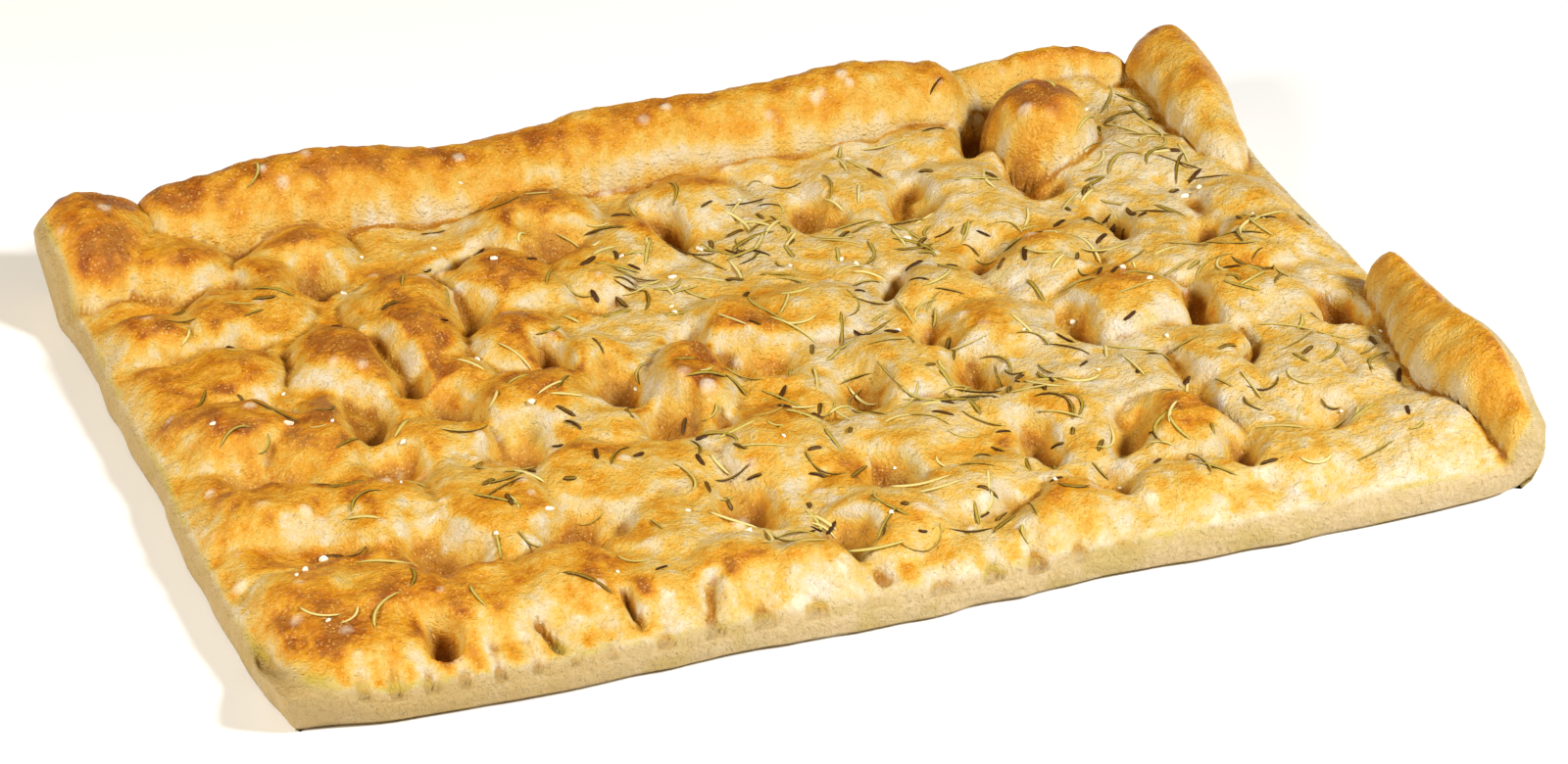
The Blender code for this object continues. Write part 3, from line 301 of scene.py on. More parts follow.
# Browned spots, with their strength. Their places lie on the level plane SPOT_LEVEL as the
# camera sees it, so that a crest or a hollow takes its spot from where it shows in the photo.
SPOT_LEVEL = 0.024
SPOTS = (
    # Front
    (-0.18, -0.12, 0.02, 0.026, 0.85), (-0.18, -0.126, 0.012, 0.02, 1.0),
    (-0.158, -0.118, 0.018, 0.022, 0.74), (-0.141, -0.112, 0.014, 0.018, 0.62),
    (-0.12, -0.11, 0.012, 0.016, 0.58), (-0.097, -0.122, 0.011, 0.02, 0.66),
    (-0.08, -0.108, 0.012, 0.01, 0.42), (-0.06, -0.13, 0.015, 0.01, 0.64, 20),
    (-0.048, -0.104, 0.012, 0.013, 0.5), (-0.012, -0.093, 0.015, 0.012, 0.78),
    (-0.014, -0.15, 0.012, 0.008, 0.5), (0.0, -0.114, 0.018, 0.014, 0.45),
    (0.034, -0.092, 0.02, 0.009, 0.72, 15), (0.045, -0.128, 0.015, 0.011, 0.55),
    (0.085, -0.118, 0.016, 0.009, 0.42), (0.128, -0.116, 0.018, 0.008, 0.46),
    (0.095, -0.093, 0.017, 0.012, 0.72), (0.03, -0.105, 0.012, 0.008, 0.4),
    # Between the two front rows of pits
    (-0.19, -0.07, 0.014, 0.018, 0.72), (-0.168, -0.088, 0.03, 0.01, 0.8, -10),
    (-0.145, -0.098, 0.012, 0.008, 0.55, -20), (-0.182, -0.04, 0.024, 0.013, 0.68, -10),
    (-0.15, -0.051, 0.022, 0.012, 0.6, -5), (-0.112, -0.072, 0.012, 0.013, 0.6),
    (-0.079, -0.056, 0.02, 0.014, 0.52), (-0.07, -0.096, 0.012, 0.009, 0.45),
    (-0.055, -0.06, 0.009, 0.009, 0.46), (-0.02, -0.05, 0.017, 0.019, 0.68),
    (0.017, -0.07, 0.018, 0.012, 0.36), (0.062, -0.076, 0.014, 0.013, 0.6),
    (0.06, -0.06, 0.016, 0.008, 0.32), (0.135, -0.066, 0.02, 0.022, 0.24),
    (0.12, -0.053, 0.014, 0.01, 0.32),
    # Between the second and third rows
    (-0.182, -0.006, 0.03, 0.022, 0.92), (-0.164, -0.02, 0.024, 0.016, 0.92, -30),
    (-0.18, 0.014, 0.024, 0.016, 0.7), (-0.15, -0.002, 0.012, 0.024, 0.72, -25),
    (-0.124, -0.03, 0.012, 0.01, 0.42), (-0.102, -0.004, 0.011, 0.014, 0.7),
    (-0.082, -0.008, 0.022, 0.018, 0.76), (-0.098, -0.026, 0.012, 0.01, 0.4),
    (-0.055, -0.008, 0.01, 0.014, 0.4), (-0.032, -0.02, 0.011, 0.024, 0.86, -20),
    (-0.031, -0.024, 0.005, 0.02, 1.1, -20), (-0.007, 0.004, 0.018, 0.015, 0.76),
    (0.003, 0.02, 0.024, 0.009, 0.55), (0.014, -0.004, 0.016, 0.014, 0.45),
    (0.044, -0.014, 0.016, 0.012, 0.38), (0.064, -0.01, 0.016, 0.018, 0.56),
    (0.092, -0.014, 0.01, 0.014, 0.3), (0.11, -0.009, 0.018, 0.018, 0.76),
    (0.151, -0.013, 0.022, 0.012, 0.68), (0.16, 0.004, 0.014, 0.01, 0.32),
    (0.176, 0.014, 0.016, 0.018, 0.5), (0.18, 0.038, 0.012, 0.016, 0.36),
    # Middle
    (-0.186, 0.032, 0.018, 0.015, 0.52), (-0.166, 0.03, 0.018, 0.012, 0.62),
    (-0.15, 0.042, 0.014, 0.01, 0.5), (-0.128, 0.03, 0.018, 0.028, 0.8),
    (-0.104, 0.036, 0.014, 0.044, 0.76), (-0.104, 0.026, 0.006, 0.03, 1.05),
    (-0.096, 0.066, 0.012, 0.014, 0.6), (-0.073, 0.029, 0.017, 0.017, 0.72),
    (-0.066, 0.061, 0.02, 0.02, 0.78), (-0.042, 0.064, 0.016, 0.012, 0.58),
    (0.03, 0.035, 0.014, 0.012, 0.34), (0.046, 0.041, 0.012, 0.012, 0.36),
    (0.07, 0.024, 0.012, 0.014, 0.46), (0.098, 0.028, 0.02, 0.011, 0.68),
    (0.131, 0.02, 0.014, 0.012, 0.3),
    # Back
    (-0.182, 0.074, 0.015, 0.012, 0.62), (-0.18, 0.058, 0.012, 0.012, 0.52),
    (-0.154, 0.062, 0.014, 0.02, 0.62), (-0.149, 0.088, 0.014, 0.014, 0.66),
    (-0.13, 0.06, 0.01, 0.018, 0.4), (-0.122, 0.104, 0.017, 0.011, 0.76),
    (-0.105, 0.072, 0.018, 0.014, 0.72), (-0.047, 0.098, 0.022, 0.022, 0.96),
    (-0.052, 0.078, 0.018, 0.01, 0.8), (-0.021, 0.08, 0.008, 0.012, 0.6),
    (0.004, 0.102, 0.022, 0.009, 0.74), (0.088, 0.09, 0.014, 0.014, 0.36),
    (0.092, 0.066, 0.012, 0.016, 0.28), (0.133, 0.114, 0.017, 0.017, 0.88),
    (0.126, 0.098, 0.014, 0.014, 0.55), (0.15, 0.142, 0.03, 0.007, 0.5, -10),
    (0.172, 0.128, 0.008, 0.012, 0.36),
    # Knob
    (-0.182, 0.106, 0.016, 0.016, 0.88), (-0.178, 0.122, 0.018, 0.02, 0.62),
    (-0.16, 0.108, 0.02, 0.014, 0.66, -30), (-0.172, 0.146, 0.014, 0.016, 0.62),
    # Darker stretches of the back crust
    (-0.15, 0.14, 0.024, 0.014, 0.66), (-0.118, 0.148, 0.022, 0.012, 0.6),
    (-0.092, 0.148, 0.022, 0.014, 0.74), (-0.066, 0.14, 0.022, 0.012, 0.68),
    (-0.03, 0.147, 0.024, 0.01, 0.68), (0.016, 0.149, 0.03, 0.009, 0.6),
    (0.062, 0.151, 0.028, 0.009, 0.55),
    # Flaps
    (0.19, 0.11, 0.016, 0.034, 0.44), (0.192, -0.03, 0.016, 0.026, 0.42),
    (0.194, -0.072, 0.018, 0.034, 0.46), (0.188, -0.11, 0.016, 0.026, 0.5),
)

# Browning
SPOT_GROW = 0.004
SPOT_EDGE = 1.05  # power of its fading from the middle out
SPOT_BLEND = 0.25  # how softly spots join
SPOT_FULL = 1.24  # tone at the middle of a spot of full strength
SPOT_LEAST = 0.72  # share of it that a spot keeps off the crests
MOST_BROWN = 1.2
ACROSS_BROWN = (0.29, 0.27, 0.20, 0.13, 0.11, 0.10, 0.08, 0.09)  # ground tone, left to right
ACROSS_CREST = (1.0, 1.0, 1.0, 0.85, 0.75, 0.65, 0.55, 0.5)  # how far crests brown
ACROSS_PALE = (0.50, 0.90, 1.0, 1.0, 1.0, 1.0, 1.0, 1.0)  # how far flanks pale
CREST_REACH = 0.0065  # a crest stands above the mean within this distance
CREST_FULL = 0.0030  # by this much where it is full
CREST_BROWN = 0.36
CREST_SHARPEN = 1.6  # how much sooner a crest shows its spots in full
CRUST_BROWN = 0.42  # tone of rolled crusts, from CRUST_LOW up to CRUST_HIGH
CRUST_LOW = 0.015
CRUST_HIGH = 0.034
STREAK_REACH = (0.012, 0.034)  # streaks run down to the front edge from here
STREAK = (0.0055, 0.16, 43)
STREAK_STRETCH = 0.12
MOTTLE = (0.0140, 0.05, 41)
MOTTLE_FINE = (0.0050, 0.03, 42)
HOLLOW_FULL = 0.0035
CREASE_REACH = 0.0030  # a crease lies below the mean within this distance
CREASE_FULL = 0.0016  # by this much where it is full
# Flanks are paler than crests, partly their own lighter bake and partly a painted highlight
# where they face the camera
FLANK_LEVEL = (0.72, 0.985)  # upward share of the normal: pale up to, then full tone
FLANK_PALE = 0.86
FACING_HIGHLIGHT = (0.0, 0.75)  # how squarely flanks face the camera: their painted highlight is less up to, then in full
TURNED_PALE = 0.35  # how far flanks turned away from it still pale
FRONT_PALE = 0.60  # how far flanks at the front edge do
ROLL_KEEPS = 0.6  # how far rolls keep their tone on flanks
PIT_KEEPS = 0.7  # how far pits do
FOOT_KEEPS = 0.65  # how far the foot of a roll is spared the painted shade of hollows and creases
FOOT = (0.02, 0.2)  # share of a roll where that starts and is full
PIT_FULL = 0.015  # depth at which pits keep their tone in full
HOLLOW_COUNTS = 0.5  # share of a pit that a hollow counts for there
PIT_DEEP = 0.013  # depth at which the colour of pits, their oil and painted shade, is full

# Colours of the dough: by how browned it is, then what lies over that
CRUST_COLOURS = (
    (0.00, (0.655, 0.575, 0.455)),
    (0.20, (0.630, 0.505, 0.285)),
    (0.42, (0.645, 0.400, 0.075)),
    (0.64, (0.620, 0.265, 0.007)),
    (0.84, (0.470, 0.145, 0.001)),
    (1.00, (0.28, 0.065, 0.001)),
)
# Oil pooled in pits and hollows, which also paints warm shade there
OIL_AND_SHADE_COLOUR = (0.66, 0.41, 0.060)
# Painted shade at the bottoms of pits
DEEP_SHADE_COLOUR = (0.32, 0.100, 0.002)
# Painted shade in creases
CREASE_SHADE_COLOUR = (0.34, 0.118, 0.002)
SPECK_COLOUR = (0.78, 0.50, 0.13)
BUBBLE_COLOUR = (0.78, 0.70, 0.54)
POOL_COLOUR = (0.58, 0.44, 0.085)
RIND_COLOUR = (0.50, 0.37, 0.050)

# Colours of its upright sides: by their pores, where oil ran down, and where well baked
WALL_COLOURS = (
    (0.26, (0.44, 0.305, 0.125)),
    (0.42, (0.49, 0.350, 0.155)),
    (0.60, (0.54, 0.400, 0.200)),
)
OILY_WALL_COLOUR = (0.40, 0.285, 0.050)
BAKED_WALL_COLOUR = (0.38, 0.245, 0.065)

# Bumps of its skin: noise scale per metre, detail, roughness, height; and other bumps' heights
SKIN_BUMPS = ((1500, 3, 0.6, 0.00060), (680, 2, 0.5, 0.00065), (300, 2, 0.5, 0.00075))
BLISTER_BUMP = 0.00016
PORE_BUMP = 0.00040
NEEDLE_BUMP = 0.00012
SALT_BUMP = 0.00012

# Colours of the needles, from dark to straw, and of the salt
NEEDLE_COLOURS = (
    (0.00, (0.035, 0.011, 0.003)),
    (0.16, (0.080, 0.028, 0.005)),
    (0.28, (0.170, 0.090, 0.008)),
    (0.48, (0.330, 0.240, 0.025)),
    (0.75, (0.500, 0.395, 0.095)),
    (1.00, (0.670, 0.550, 0.220)),
)
SALT_COLOURS = ((0.30, (0.82, 0.70, 0.48)), (0.65, (0.93, 0.87, 0.74)))

# Rosemary
NEEDLE_SIDES = 8
NEEDLE_RINGS = 9
RAY_START = 1.0  # height from which rays look down for the dough
MORE_NEEDLES = 380
MORE_GAP = 0.0040
MORE_LENGTH = (0.006, 0.017)
MORE_BEND = 0.42
NEEDLE_WIDTH = (0.0009, 0.0013)
NEEDLE_TWIST = 0.5  # most that one lies turned about its own line, in radians
NEEDLE_TAPER = 0.9  # how far its width shrinks to its tips
NEEDLE_TAPER_POWER = 5
NEEDLE_FLATNESS = 0.55
NEEDLE_GROOVE = 0.45  # how far the groove along its top sinks
NEEDLE_GROOVE_HALF = 0.7  # share of its half width that the groove takes
NEEDLE_UP = 0.45  # how far its middle lies over its path, in half heights
NEEDLE_LIFT = 0.72  # share of the way up from its mean line to its highest rest
NEEDLE_MOST_LIFT = 0.0032
DARK_NEEDLES = 0.24  # share of them that are short, thick and dark
DARK_LENGTH = 0.50
DARK_WIDTH = 1.35
DARK_BEND = 0.35
CLUSTER_SEED = 52
CLUSTERS = (  # x, y, count, reach
    (-0.022, 0.046, 7, 0.012), (0.020, 0.062, 8, 0.014), (-0.045, 0.076, 6, 0.014),
    (0.046, 0.078, 7, 0.012), (0.092, 0.110, 6, 0.016), (0.130, 0.058, 10, 0.013),
    (0.130, 0.038, 6, 0.010), (0.152, 0.014, 7, 0.012), (0.172, -0.042, 9, 0.010),
    (0.166, -0.064, 4, 0.012), (0.052, -0.046, 11, 0.013), (0.026, -0.046, 8, 0.014),
    (0.076, -0.101, 10, 0.012), (0.106, -0.116, 7, 0.014), (-0.022, -0.112, 7, 0.012),
    (0.026, -0.120, 7, 0.013), (-0.080, 0.078, 5, 0.012), (-0.106, -0.062, 6, 0.014),
    (0.064, -0.054, 9, 0.012), (-0.040, -0.072, 6, 0.014), (-0.042, 0.038, 5, 0.012),
    (0.072, 0.044, 6, 0.012), (0.160, 0.064, 5, 0.014), (0.148, 0.086, 7, 0.014),
    (0.004, 0.060, 7, 0.014), (-0.140, 0.116, 4, 0.018), (0.168, 0.022, 5, 0.010),
    (0.048, 0.018, 6, 0.012), (-0.158, 0.060, 5, 0.016), (0.012, -0.020, 5, 0.014),
    (0.120, 0.106, 5, 0.014), (-0.004, -0.046, 5, 0.012),
)

# Salt
MORE_SALT = 45
FINE_SALT_SIZE = (0.0012, 0.0028)
SALT_WHERE = ((-0.185, -0.135), (0.180, 0.120))
SALT_CHIPS = 9  # flat faces on a crystal
SALT_CHIP = 0.30  # how far a face lies from its middle, in sizes
SALT_STRETCH = (1.2, 0.8, 0.6)
SALT_UP = 0.08  # how far its middle lies over the dough, in sizes

# Camera, lights and floor
CAMERA_TARGET = (0.0037, 0.0028, 0.0)
CAMERA_AZIMUTH = -20.0
CAMERA_ELEVATION = 29.7
CAMERA_DISTANCE = 1.833
CAMERA_LENS = 135.0
CAMERA_SEES = 20.0  # farthest that it sees
SENSOR = 36.0
LIGHTS = (  # name, place, aim, size, power in watts, colour
    ("key", (0.88, -1.03, 1.08), (0.0, 0.0, 0.0), 0.32, 39.6, (0.935, 0.965, 1.0)),
    ("fill", (-1.05, -0.25, 0.70), (-0.05, 0.0, 0.0), 0.60, 13.5, (1.0, 0.96, 0.88)),
)
ROOM_COLOUR = (1.0, 0.78, 0.47, 1.0)
ROOM_STRENGTH = 0.245
FLOOR_REACH = 6.0
FLOOR_DROP = 0.0002  # keeps it clear of the base
FLOOR_COLOUR = (0.93, 0.93, 0.93, 1.0)


def through(values, share):
    """A smooth line through evenly spaced values, for shares from 0 to 1 along it."""
    if len(values) == 1:
        return np.full_like(share, values[0])
    padded = np.concatenate([[values[0]], values, [values[-1]]])
    place = np.clip(share, 0, 1) * (len(values) - 1)
    first = np.minimum(place.astype(int), len(values) - 2)
    f = place - first
    a, b, c, d = (padded[first + i] for i in range(4))
    return b + 0.5 * f * (c - a + f * (2 * a - 5 * b + 4 * c - d + f * (3 * (b - c) + d - a)))


def ramp(start, end, value):
    """Rises smoothly from 0 at start to 1 at end."""
    share = np.clip((value - start) / (end - start), 0, 1)
    return share * share * (3 - 2 * share)


def between(field, px, py, ease=False):
    """A grid's values at places counted in its cells, in straight or in smooth steps."""
    px = np.clip(px, 0, field.shape[0] - 1.001)
    py = np.clip(py, 0, field.shape[1] - 1.001)
    ix = px.astype(int)
    iy = py.astype(int)
    fx, fy = px - ix, py - iy
    if ease:
        fx, fy = ramp(0, 1, fx), ramp(0, 1, fy)
    low = field[ix, iy] * (1 - fx) + field[ix + 1, iy] * fx
    high = field[ix, iy + 1] * (1 - fx) + field[ix + 1, iy + 1] * fx
    return low * (1 - fy) + high * fy


def noise(x, y, kind):
    """Smooth seeded noise of one kind, from minus its reach to its reach."""
    step, reach, seed = kind
    count = int(2 * NOISE_REACH / step) + 2
    lattice = np.random.default_rng(seed).uniform(-reach, reach, (count, count))
    return between(lattice, (x + NOISE_REACH) / step, (y + NOISE_REACH) / step, ease=True)


def ovals(rows):
    """The rows of a table as ovals."""
    return [Oval(*row) for row in rows]


def within(x, y, place, grow=0.0, back=0.0):
    """1 in the middle of an oval and 0 from its edge outwards, longer by back at its back."""
    cos, sin = math.cos(math.radians(place.turn)), math.sin(math.radians(place.turn))
    across = ((x - place.x) * cos + (y - place.y) * sin) / (place.half_width + grow)
    along = (y - place.y) * cos - (x - place.x) * sin
    along = along / (place.half_length + grow + np.where(along > 0, back, 0))
    return np.clip(1 - across ** 2 - along ** 2, 0, 1)


def side_lines(x, y):
    """The four sides of the base, level with each point."""
    along_x = x / LENGTH + 0.5
    along_y = y / WIDTH + 0.5
    return (through(LEFT_SIDE, along_y), through(RIGHT_SIDE, along_y),
            through(FRONT_SIDE, along_x), through(BACK_SIDE, along_x))


def from_edge(x, y):
    """Distance in from the sides, with the top's rounded corners."""
    left, right, front, back = side_lines(x, y)
    in_x = np.minimum(x - left, right - x)
    in_y = np.minimum(y - front, back - y)
    corner_x = np.maximum(TOP_CORNER - in_x, 0)
    corner_y = np.maximum(TOP_CORNER - in_y, 0)
    rounded = TOP_CORNER - np.hypot(corner_x, corner_y)
    return np.where((corner_x > 0) & (corner_y > 0), rounded, np.minimum(in_x, in_y))


def band_height(x, y):
    """Height of the upright band round the slab, which stands higher at its corners."""
    height = np.full_like(x, TRAY_BAND)
    for corner_x, corner_y, rise, run in HIGH_CORNERS:
        height = height + rise * (1 - ramp(0, run, np.hypot(x - corner_x, y - corner_y)))
    return height


def smooth_max(a, b, blend):
    """The larger of two heights, with the corner between them filled a little."""
    near = np.clip(1 - np.abs(a - b) / blend, 0, 1)
    return np.maximum(a, b) + blend * near ** 2 / 4


def roll_height(x, y, roll):
    """Height of a rolled crust, how far each point is from its edge, and its overhang."""
    along, across = (x, y) if roll.axis == "x" else (y, x)
    share = (along - roll.start) / (roll.end - roll.start)
    offset = (across - through(roll.centre, share)) * roll.to_middle
    half_width = np.where(offset > 0, through(roll.inside, share), through(roll.outside, share))
    before = np.maximum(roll.start - along, 0) / roll.end_runs[0]
    beyond = before + np.maximum(along - roll.end, 0) / roll.end_runs[1]
    rest = np.clip(1 - (offset / half_width) ** 2 - beyond ** 2, 0, 1)
    wrinkle = np.cos(2 * math.pi * along / WRINKLE_STEP + noise(x, y, WRINKLE_DRIFT))
    low_on_face = ramp(*WRINKLE_FACE, offset / half_width)
    fade = WRINKLE_MEAN + noise(x, y, WRINKLE_FADE)
    crest = through(roll.crest, share) + WRINKLE_DEPTH * wrinkle * low_on_face * fade
    height = TRAY_BAND + (crest - TRAY_BAND) * np.sqrt(rest)
    far = np.clip(np.abs(offset) / half_width, 0, 1)
    bulge = np.sin(math.pi * far ** ROLL_BULGE) * (rest > 0) * np.clip(1 - beyond, 0, 1)
    overhang = np.where(offset > 0, roll.lean_in, -roll.lean_out) * half_width
    return height, rest, overhang * bulge * roll.to_middle


def wander(x, y):
    """Each point shifted a little by smooth noise, so that no outline is a clean oval."""
    return (x + noise(x, y, WANDER_X) + noise(x, y, WANDER_X_FINE),
            y + noise(x, y, WANDER_Y) + noise(x, y, WANDER_Y_FINE))


def pit_depth(x, y):
    """How deep the pits and creases go at each point; overlapping ones don't add up."""
    total = np.zeros_like(x)
    for share, grow, back, power in (CORE, SLOPE):
        depth = np.zeros_like(x)
        for pit in ovals(PITS):
            thin = min(pit.half_width / WIDE_PIT, pit.half_length / WIDE_PIT, 1)
            part = pit.amount * share * within(x, y, pit, grow * thin, back * thin) ** power
            depth = smooth_max(depth, part, PIT_BLEND)
        total = total + depth
    return total


def fill_pillows():
    """Small swellings, one to a cell of a grid over the top, shifted and sized by draws."""
    draw = np.random.default_rng(FILL_SEED)
    fills = []
    for cell_x in np.arange(-LENGTH / 2, LENGTH / 2, FILL_STEP):
        for cell_y in np.arange(-WIDTH / 2, WIDTH / 2, FILL_STEP):
            shift_x, shift_y = draw.uniform(0, FILL_STEP, 2)
            half_width, half_length = draw.uniform(*FILL_SIZE, 2)
            turn = draw.uniform(-90, 90)
            rise = draw.uniform(*FILL_RISE)
            x, y = cell_x + shift_x, cell_y + shift_y
            fills.append(Oval(x, y, half_width, half_length, rise, turn))
    return fills


def pillow_rise(x, y):
    """How far the swellings stand up at each point; creases form where they meet."""
    rise = np.zeros_like(x)
    for pillow in ovals(PILLOWS):
        part = pillow.amount * PILLOW_GAIN * within(x, y, pillow, PILLOW_GROW)
        rise = smooth_max(rise, part, PILLOW_BLEND)
    for fill in fill_pillows():
        rise = smooth_max(rise, fill.amount * within(x, y, fill), PILLOW_BLEND)
    return rise


def groove_depth(x, y, edge):
    """How far grooves draw the front edge's slope back from the edge."""
    on_slope = ramp(*GROOVE_START, edge) * (1 - ramp(*GROOVE_STOP, edge))
    at_front = ramp(*GROOVE_FRONT, -y) * (1 - ramp(*GROOVE_RIGHT, x))
    past = x - GROOVE_CHANGE
    count = np.minimum(past, 0) / GROOVE_STEP + np.maximum(past, 0) / GROOVE_WIDE_STEP
    wave = 0.5 + 0.5 * np.cos(2 * math.pi * count + noise(x, y, GROOVE_DRIFT))
    strength = 1 - GROOVE_STRENGTH[1] + noise(x, y, GROOVE_STRENGTH)
    return GROOVE_DEPTH * strength * wave ** GROOVE_POWER * at_front * on_slope


def blurred(field, cells):
    """The mean of a grid within some cells along both of its directions."""
    for axis in (0, 1):
        rows = np.moveaxis(field, axis, 0)
        ends = [np.repeat(rows[:1], cells, 0), rows, np.repeat(rows[-1:], cells, 0)]
        padded = np.concatenate(ends)
        sums = np.concatenate([np.zeros_like(padded[:1]), np.cumsum(padded, axis=0)])
        rows = (sums[2 * cells + 1:] - sums[:-2 * cells - 1]) / (2 * cells + 1)
        field = np.moveaxis(rows, 0, axis)
    return field


@cache
def relief_fields():
    """The top's height without its rolls and slopes, and its depth in pits, on a lattice."""
    places = np.arange(-NOISE_REACH, NOISE_REACH, RELIEF_STEP)
    x, y = np.meshgrid(places, places[np.abs(places) < WIDTH / 2 + SHOULDER], indexing="ij")
    near_x, near_y = wander(x, y)
    level = noise(x, y, LUMP) + noise(x, y, CLOD) + pillow_rise(near_x, near_y)
    depth = pit_depth(near_x, near_y)
    relief = level - depth
    for reach, up, down in STRONGER:
        cells = int(round(reach / RELIEF_STEP))
        over = relief - blurred(blurred(relief, cells), cells)
        relief = relief + np.where(over > 0, up, down) * over
    return relief, depth, y[0, 0]


def surface(x, y):
    """Where the top lies over a place, its depth in a pit and its share of a roll."""
    edge = from_edge(x, y)
    relief_field, depth_field, low_y = relief_fields()
    px, py = (x + NOISE_REACH) / RELIEF_STEP, (y - low_y) / RELIEF_STEP
    relief = between(relief_field, px, py)
    depth = between(depth_field, px, py)
    level = LEVEL + noise(x, y, SWELL) + np.maximum(relief, 0)
    sunk = np.maximum(-relief, 0) * ramp(0.0, PIT_EDGE_FADE, edge)
    run = SHOULDER * (1 + noise(x, y, SHOULDER_DRIFT))
    up_slope = np.clip((edge - groove_depth(x, y, edge)) / run, 0, 1)
    rise = (1 - (1 - up_slope) ** SHOULDER_POWER) ** (1 / SHOULDER_POWER)
    band = band_height(x, y)
    z = np.maximum(band + (level - band - sunk) * rise, LOWEST_TOP)
    out_x = np.zeros_like(x)
    out_y = np.zeros_like(x)
    on_roll = np.zeros_like(x)
    for roll in ROLLS:
        height, rest, overhang = roll_height(x, y, roll)
        share = ramp(*ROLL_SHOWS, height - z) * (rest > 0)
        if roll.axis == "x":
            out_y = out_y + overhang * share
        else:
            out_x = out_x + overhang * share
        z = np.where(rest > 0, smooth_max(z, height, CREASE_BLEND), z)
        on_roll = np.maximum(on_roll, share)
    return x + out_x, y + out_y, z, depth, on_roll


def spaced(length, step):
    """Evenly spaced places from end to end, closer together near both ends."""
    near_end = np.cumsum([0.0] + [step * share for share in EDGE_STEPS])
    inner = length - 2 * near_end[-1]
    count = int(round(inner / step))
    middle = near_end[-1] + inner * np.arange(1, count) / count
    places = np.concatenate([near_end, middle, (length - near_end)[::-1]])
    return places - length / 2


def plan_grid(step):
    """Plan places of a grid of points over the whole base, with its corners rounded."""
    flat_x, flat_y = np.meshgrid(spaced(LENGTH, step), spaced(WIDTH, step), indexing="ij")
    corner_x = np.clip((np.abs(flat_x) - (LENGTH / 2 - CORNER)) / CORNER, 0, 1)
    corner_y = np.clip((np.abs(flat_y) - (WIDTH / 2 - CORNER)) / CORNER, 0, 1)
    pull_x = corner_x * (1 - np.sqrt(1 - corner_y ** 2 / 2))
    pull_y = corner_y * (1 - np.sqrt(1 - corner_x ** 2 / 2))
    flat_x = flat_x - np.sign(flat_x) * pull_x * CORNER
    flat_y = flat_y - np.sign(flat_y) * pull_y * CORNER
    left, right, front, back = side_lines(flat_x, flat_y)
    x = left + (right - left) * (flat_x / LENGTH + 0.5)
    y = front + (back - front) * (flat_y / WIDTH + 0.5)
    return x, y


def make_slab():
    """Points and faces of the whole slab, and its top's height, depth and share of a roll."""
    plan_x, plan_y = plan_grid(GRID_STEP)
    columns, rows = plan_x.shape
    x, y, z, depth, on_roll = surface(plan_x, plan_y)
    points = np.stack([x, y, z], axis=2).reshape(-1, 3)
    index = np.arange(columns * rows).reshape(columns, rows)
    corners = [index[:-1, :-1], index[1:, :-1], index[1:, 1:], index[:-1, 1:]]
    faces = np.stack(corners, axis=2).reshape(-1, 4).tolist()
    rim = np.concatenate([index[:-1, 0], index[-1, :-1], index[:0:-1, -1], index[0, :0:-1]])
    count = len(rim)
    loop = points[rim]
    run = np.roll(loop, -1, axis=0) - np.roll(loop, 1, axis=0)
    outward = np.stack([run[:, 1], -run[:, 0], np.zeros(count)], axis=1)
    outward /= np.linalg.norm(outward, axis=1)[:, None]
    to_corner = np.hypot(LENGTH / 2 - np.abs(loop[:, 0]), WIDTH / 2 - np.abs(loop[:, 1]))
    tuck = CORNER_TUCK * (1 - ramp(0, CORNER_TUCK_RUN, to_corner))
    tuck = tuck + BASE_WAVE[1] + noise(loop[:, 0], loop[:, 1], BASE_WAVE)
    bulges = through(BAND_BULGE, np.array(BAND_SHARES))
    levels = [(share * loop[:, 2], bulge - tuck * (1 - share))
              for share, bulge in zip(BAND_SHARES, bulges)]
    levels.append((np.full(count, BASE_EDGE), -tuck))
    levels.append((np.zeros(count), -BASE_EDGE - tuck))
    rings = [rim]
    layers = [points]
    total = len(points)
    for level, bulge in levels:
        ring = loop + outward * bulge[:, None]
        ring[:, 2] = level
        layers.append(ring)
        rings.append(np.arange(total, total + count))
        total += count
    for upper, lower in zip(rings, rings[1:]):
        corners = [upper, lower, np.roll(lower, -1), np.roll(upper, -1)]
        faces += np.stack(corners, axis=1).tolist()
    layers.append(np.zeros((1, 3)))
    base = rings[-1]
    faces += np.stack([base, np.full(count, total), np.roll(base, -1)], axis=1).tolist()
    return np.concatenate(layers), faces, z, depth, on_roll


def dotted(x, y, dots):
    """Scattered round dots, read at each point: domes, or pits if their height is below 0."""
    count = int(2 * NOISE_REACH / FIELD_STEP)
    field = np.zeros((count, count))
    draw = np.random.default_rng(dots.seed)
    for _ in range(dots.count):
        centre = (draw.uniform(-0.5, 0.5, 2) * (LENGTH, WIDTH) + NOISE_REACH) / FIELD_STEP
        radius = draw.uniform(dots.small, dots.large) / FIELD_STEP
        height = dots.height * draw.uniform(*DOT_HEIGHTS)
        low = (centre - radius).astype(int)
        high = (centre + radius).astype(int) + 2
        i, j = np.ogrid[low[0]:high[0], low[1]:high[1]]
        far = ((i - centre[0]) ** 2 + (j - centre[1]) ** 2) / radius ** 2
        dome = height * np.clip(1 - far, 0, 1)
        patch = field[low[0]:high[0], low[1]:high[1]]
        patch[...] = np.where(np.abs(dome) > np.abs(patch), dome, patch)
    return between(field, (x + NOISE_REACH) / FIELD_STEP, (y + NOISE_REACH) / FIELD_STEP)


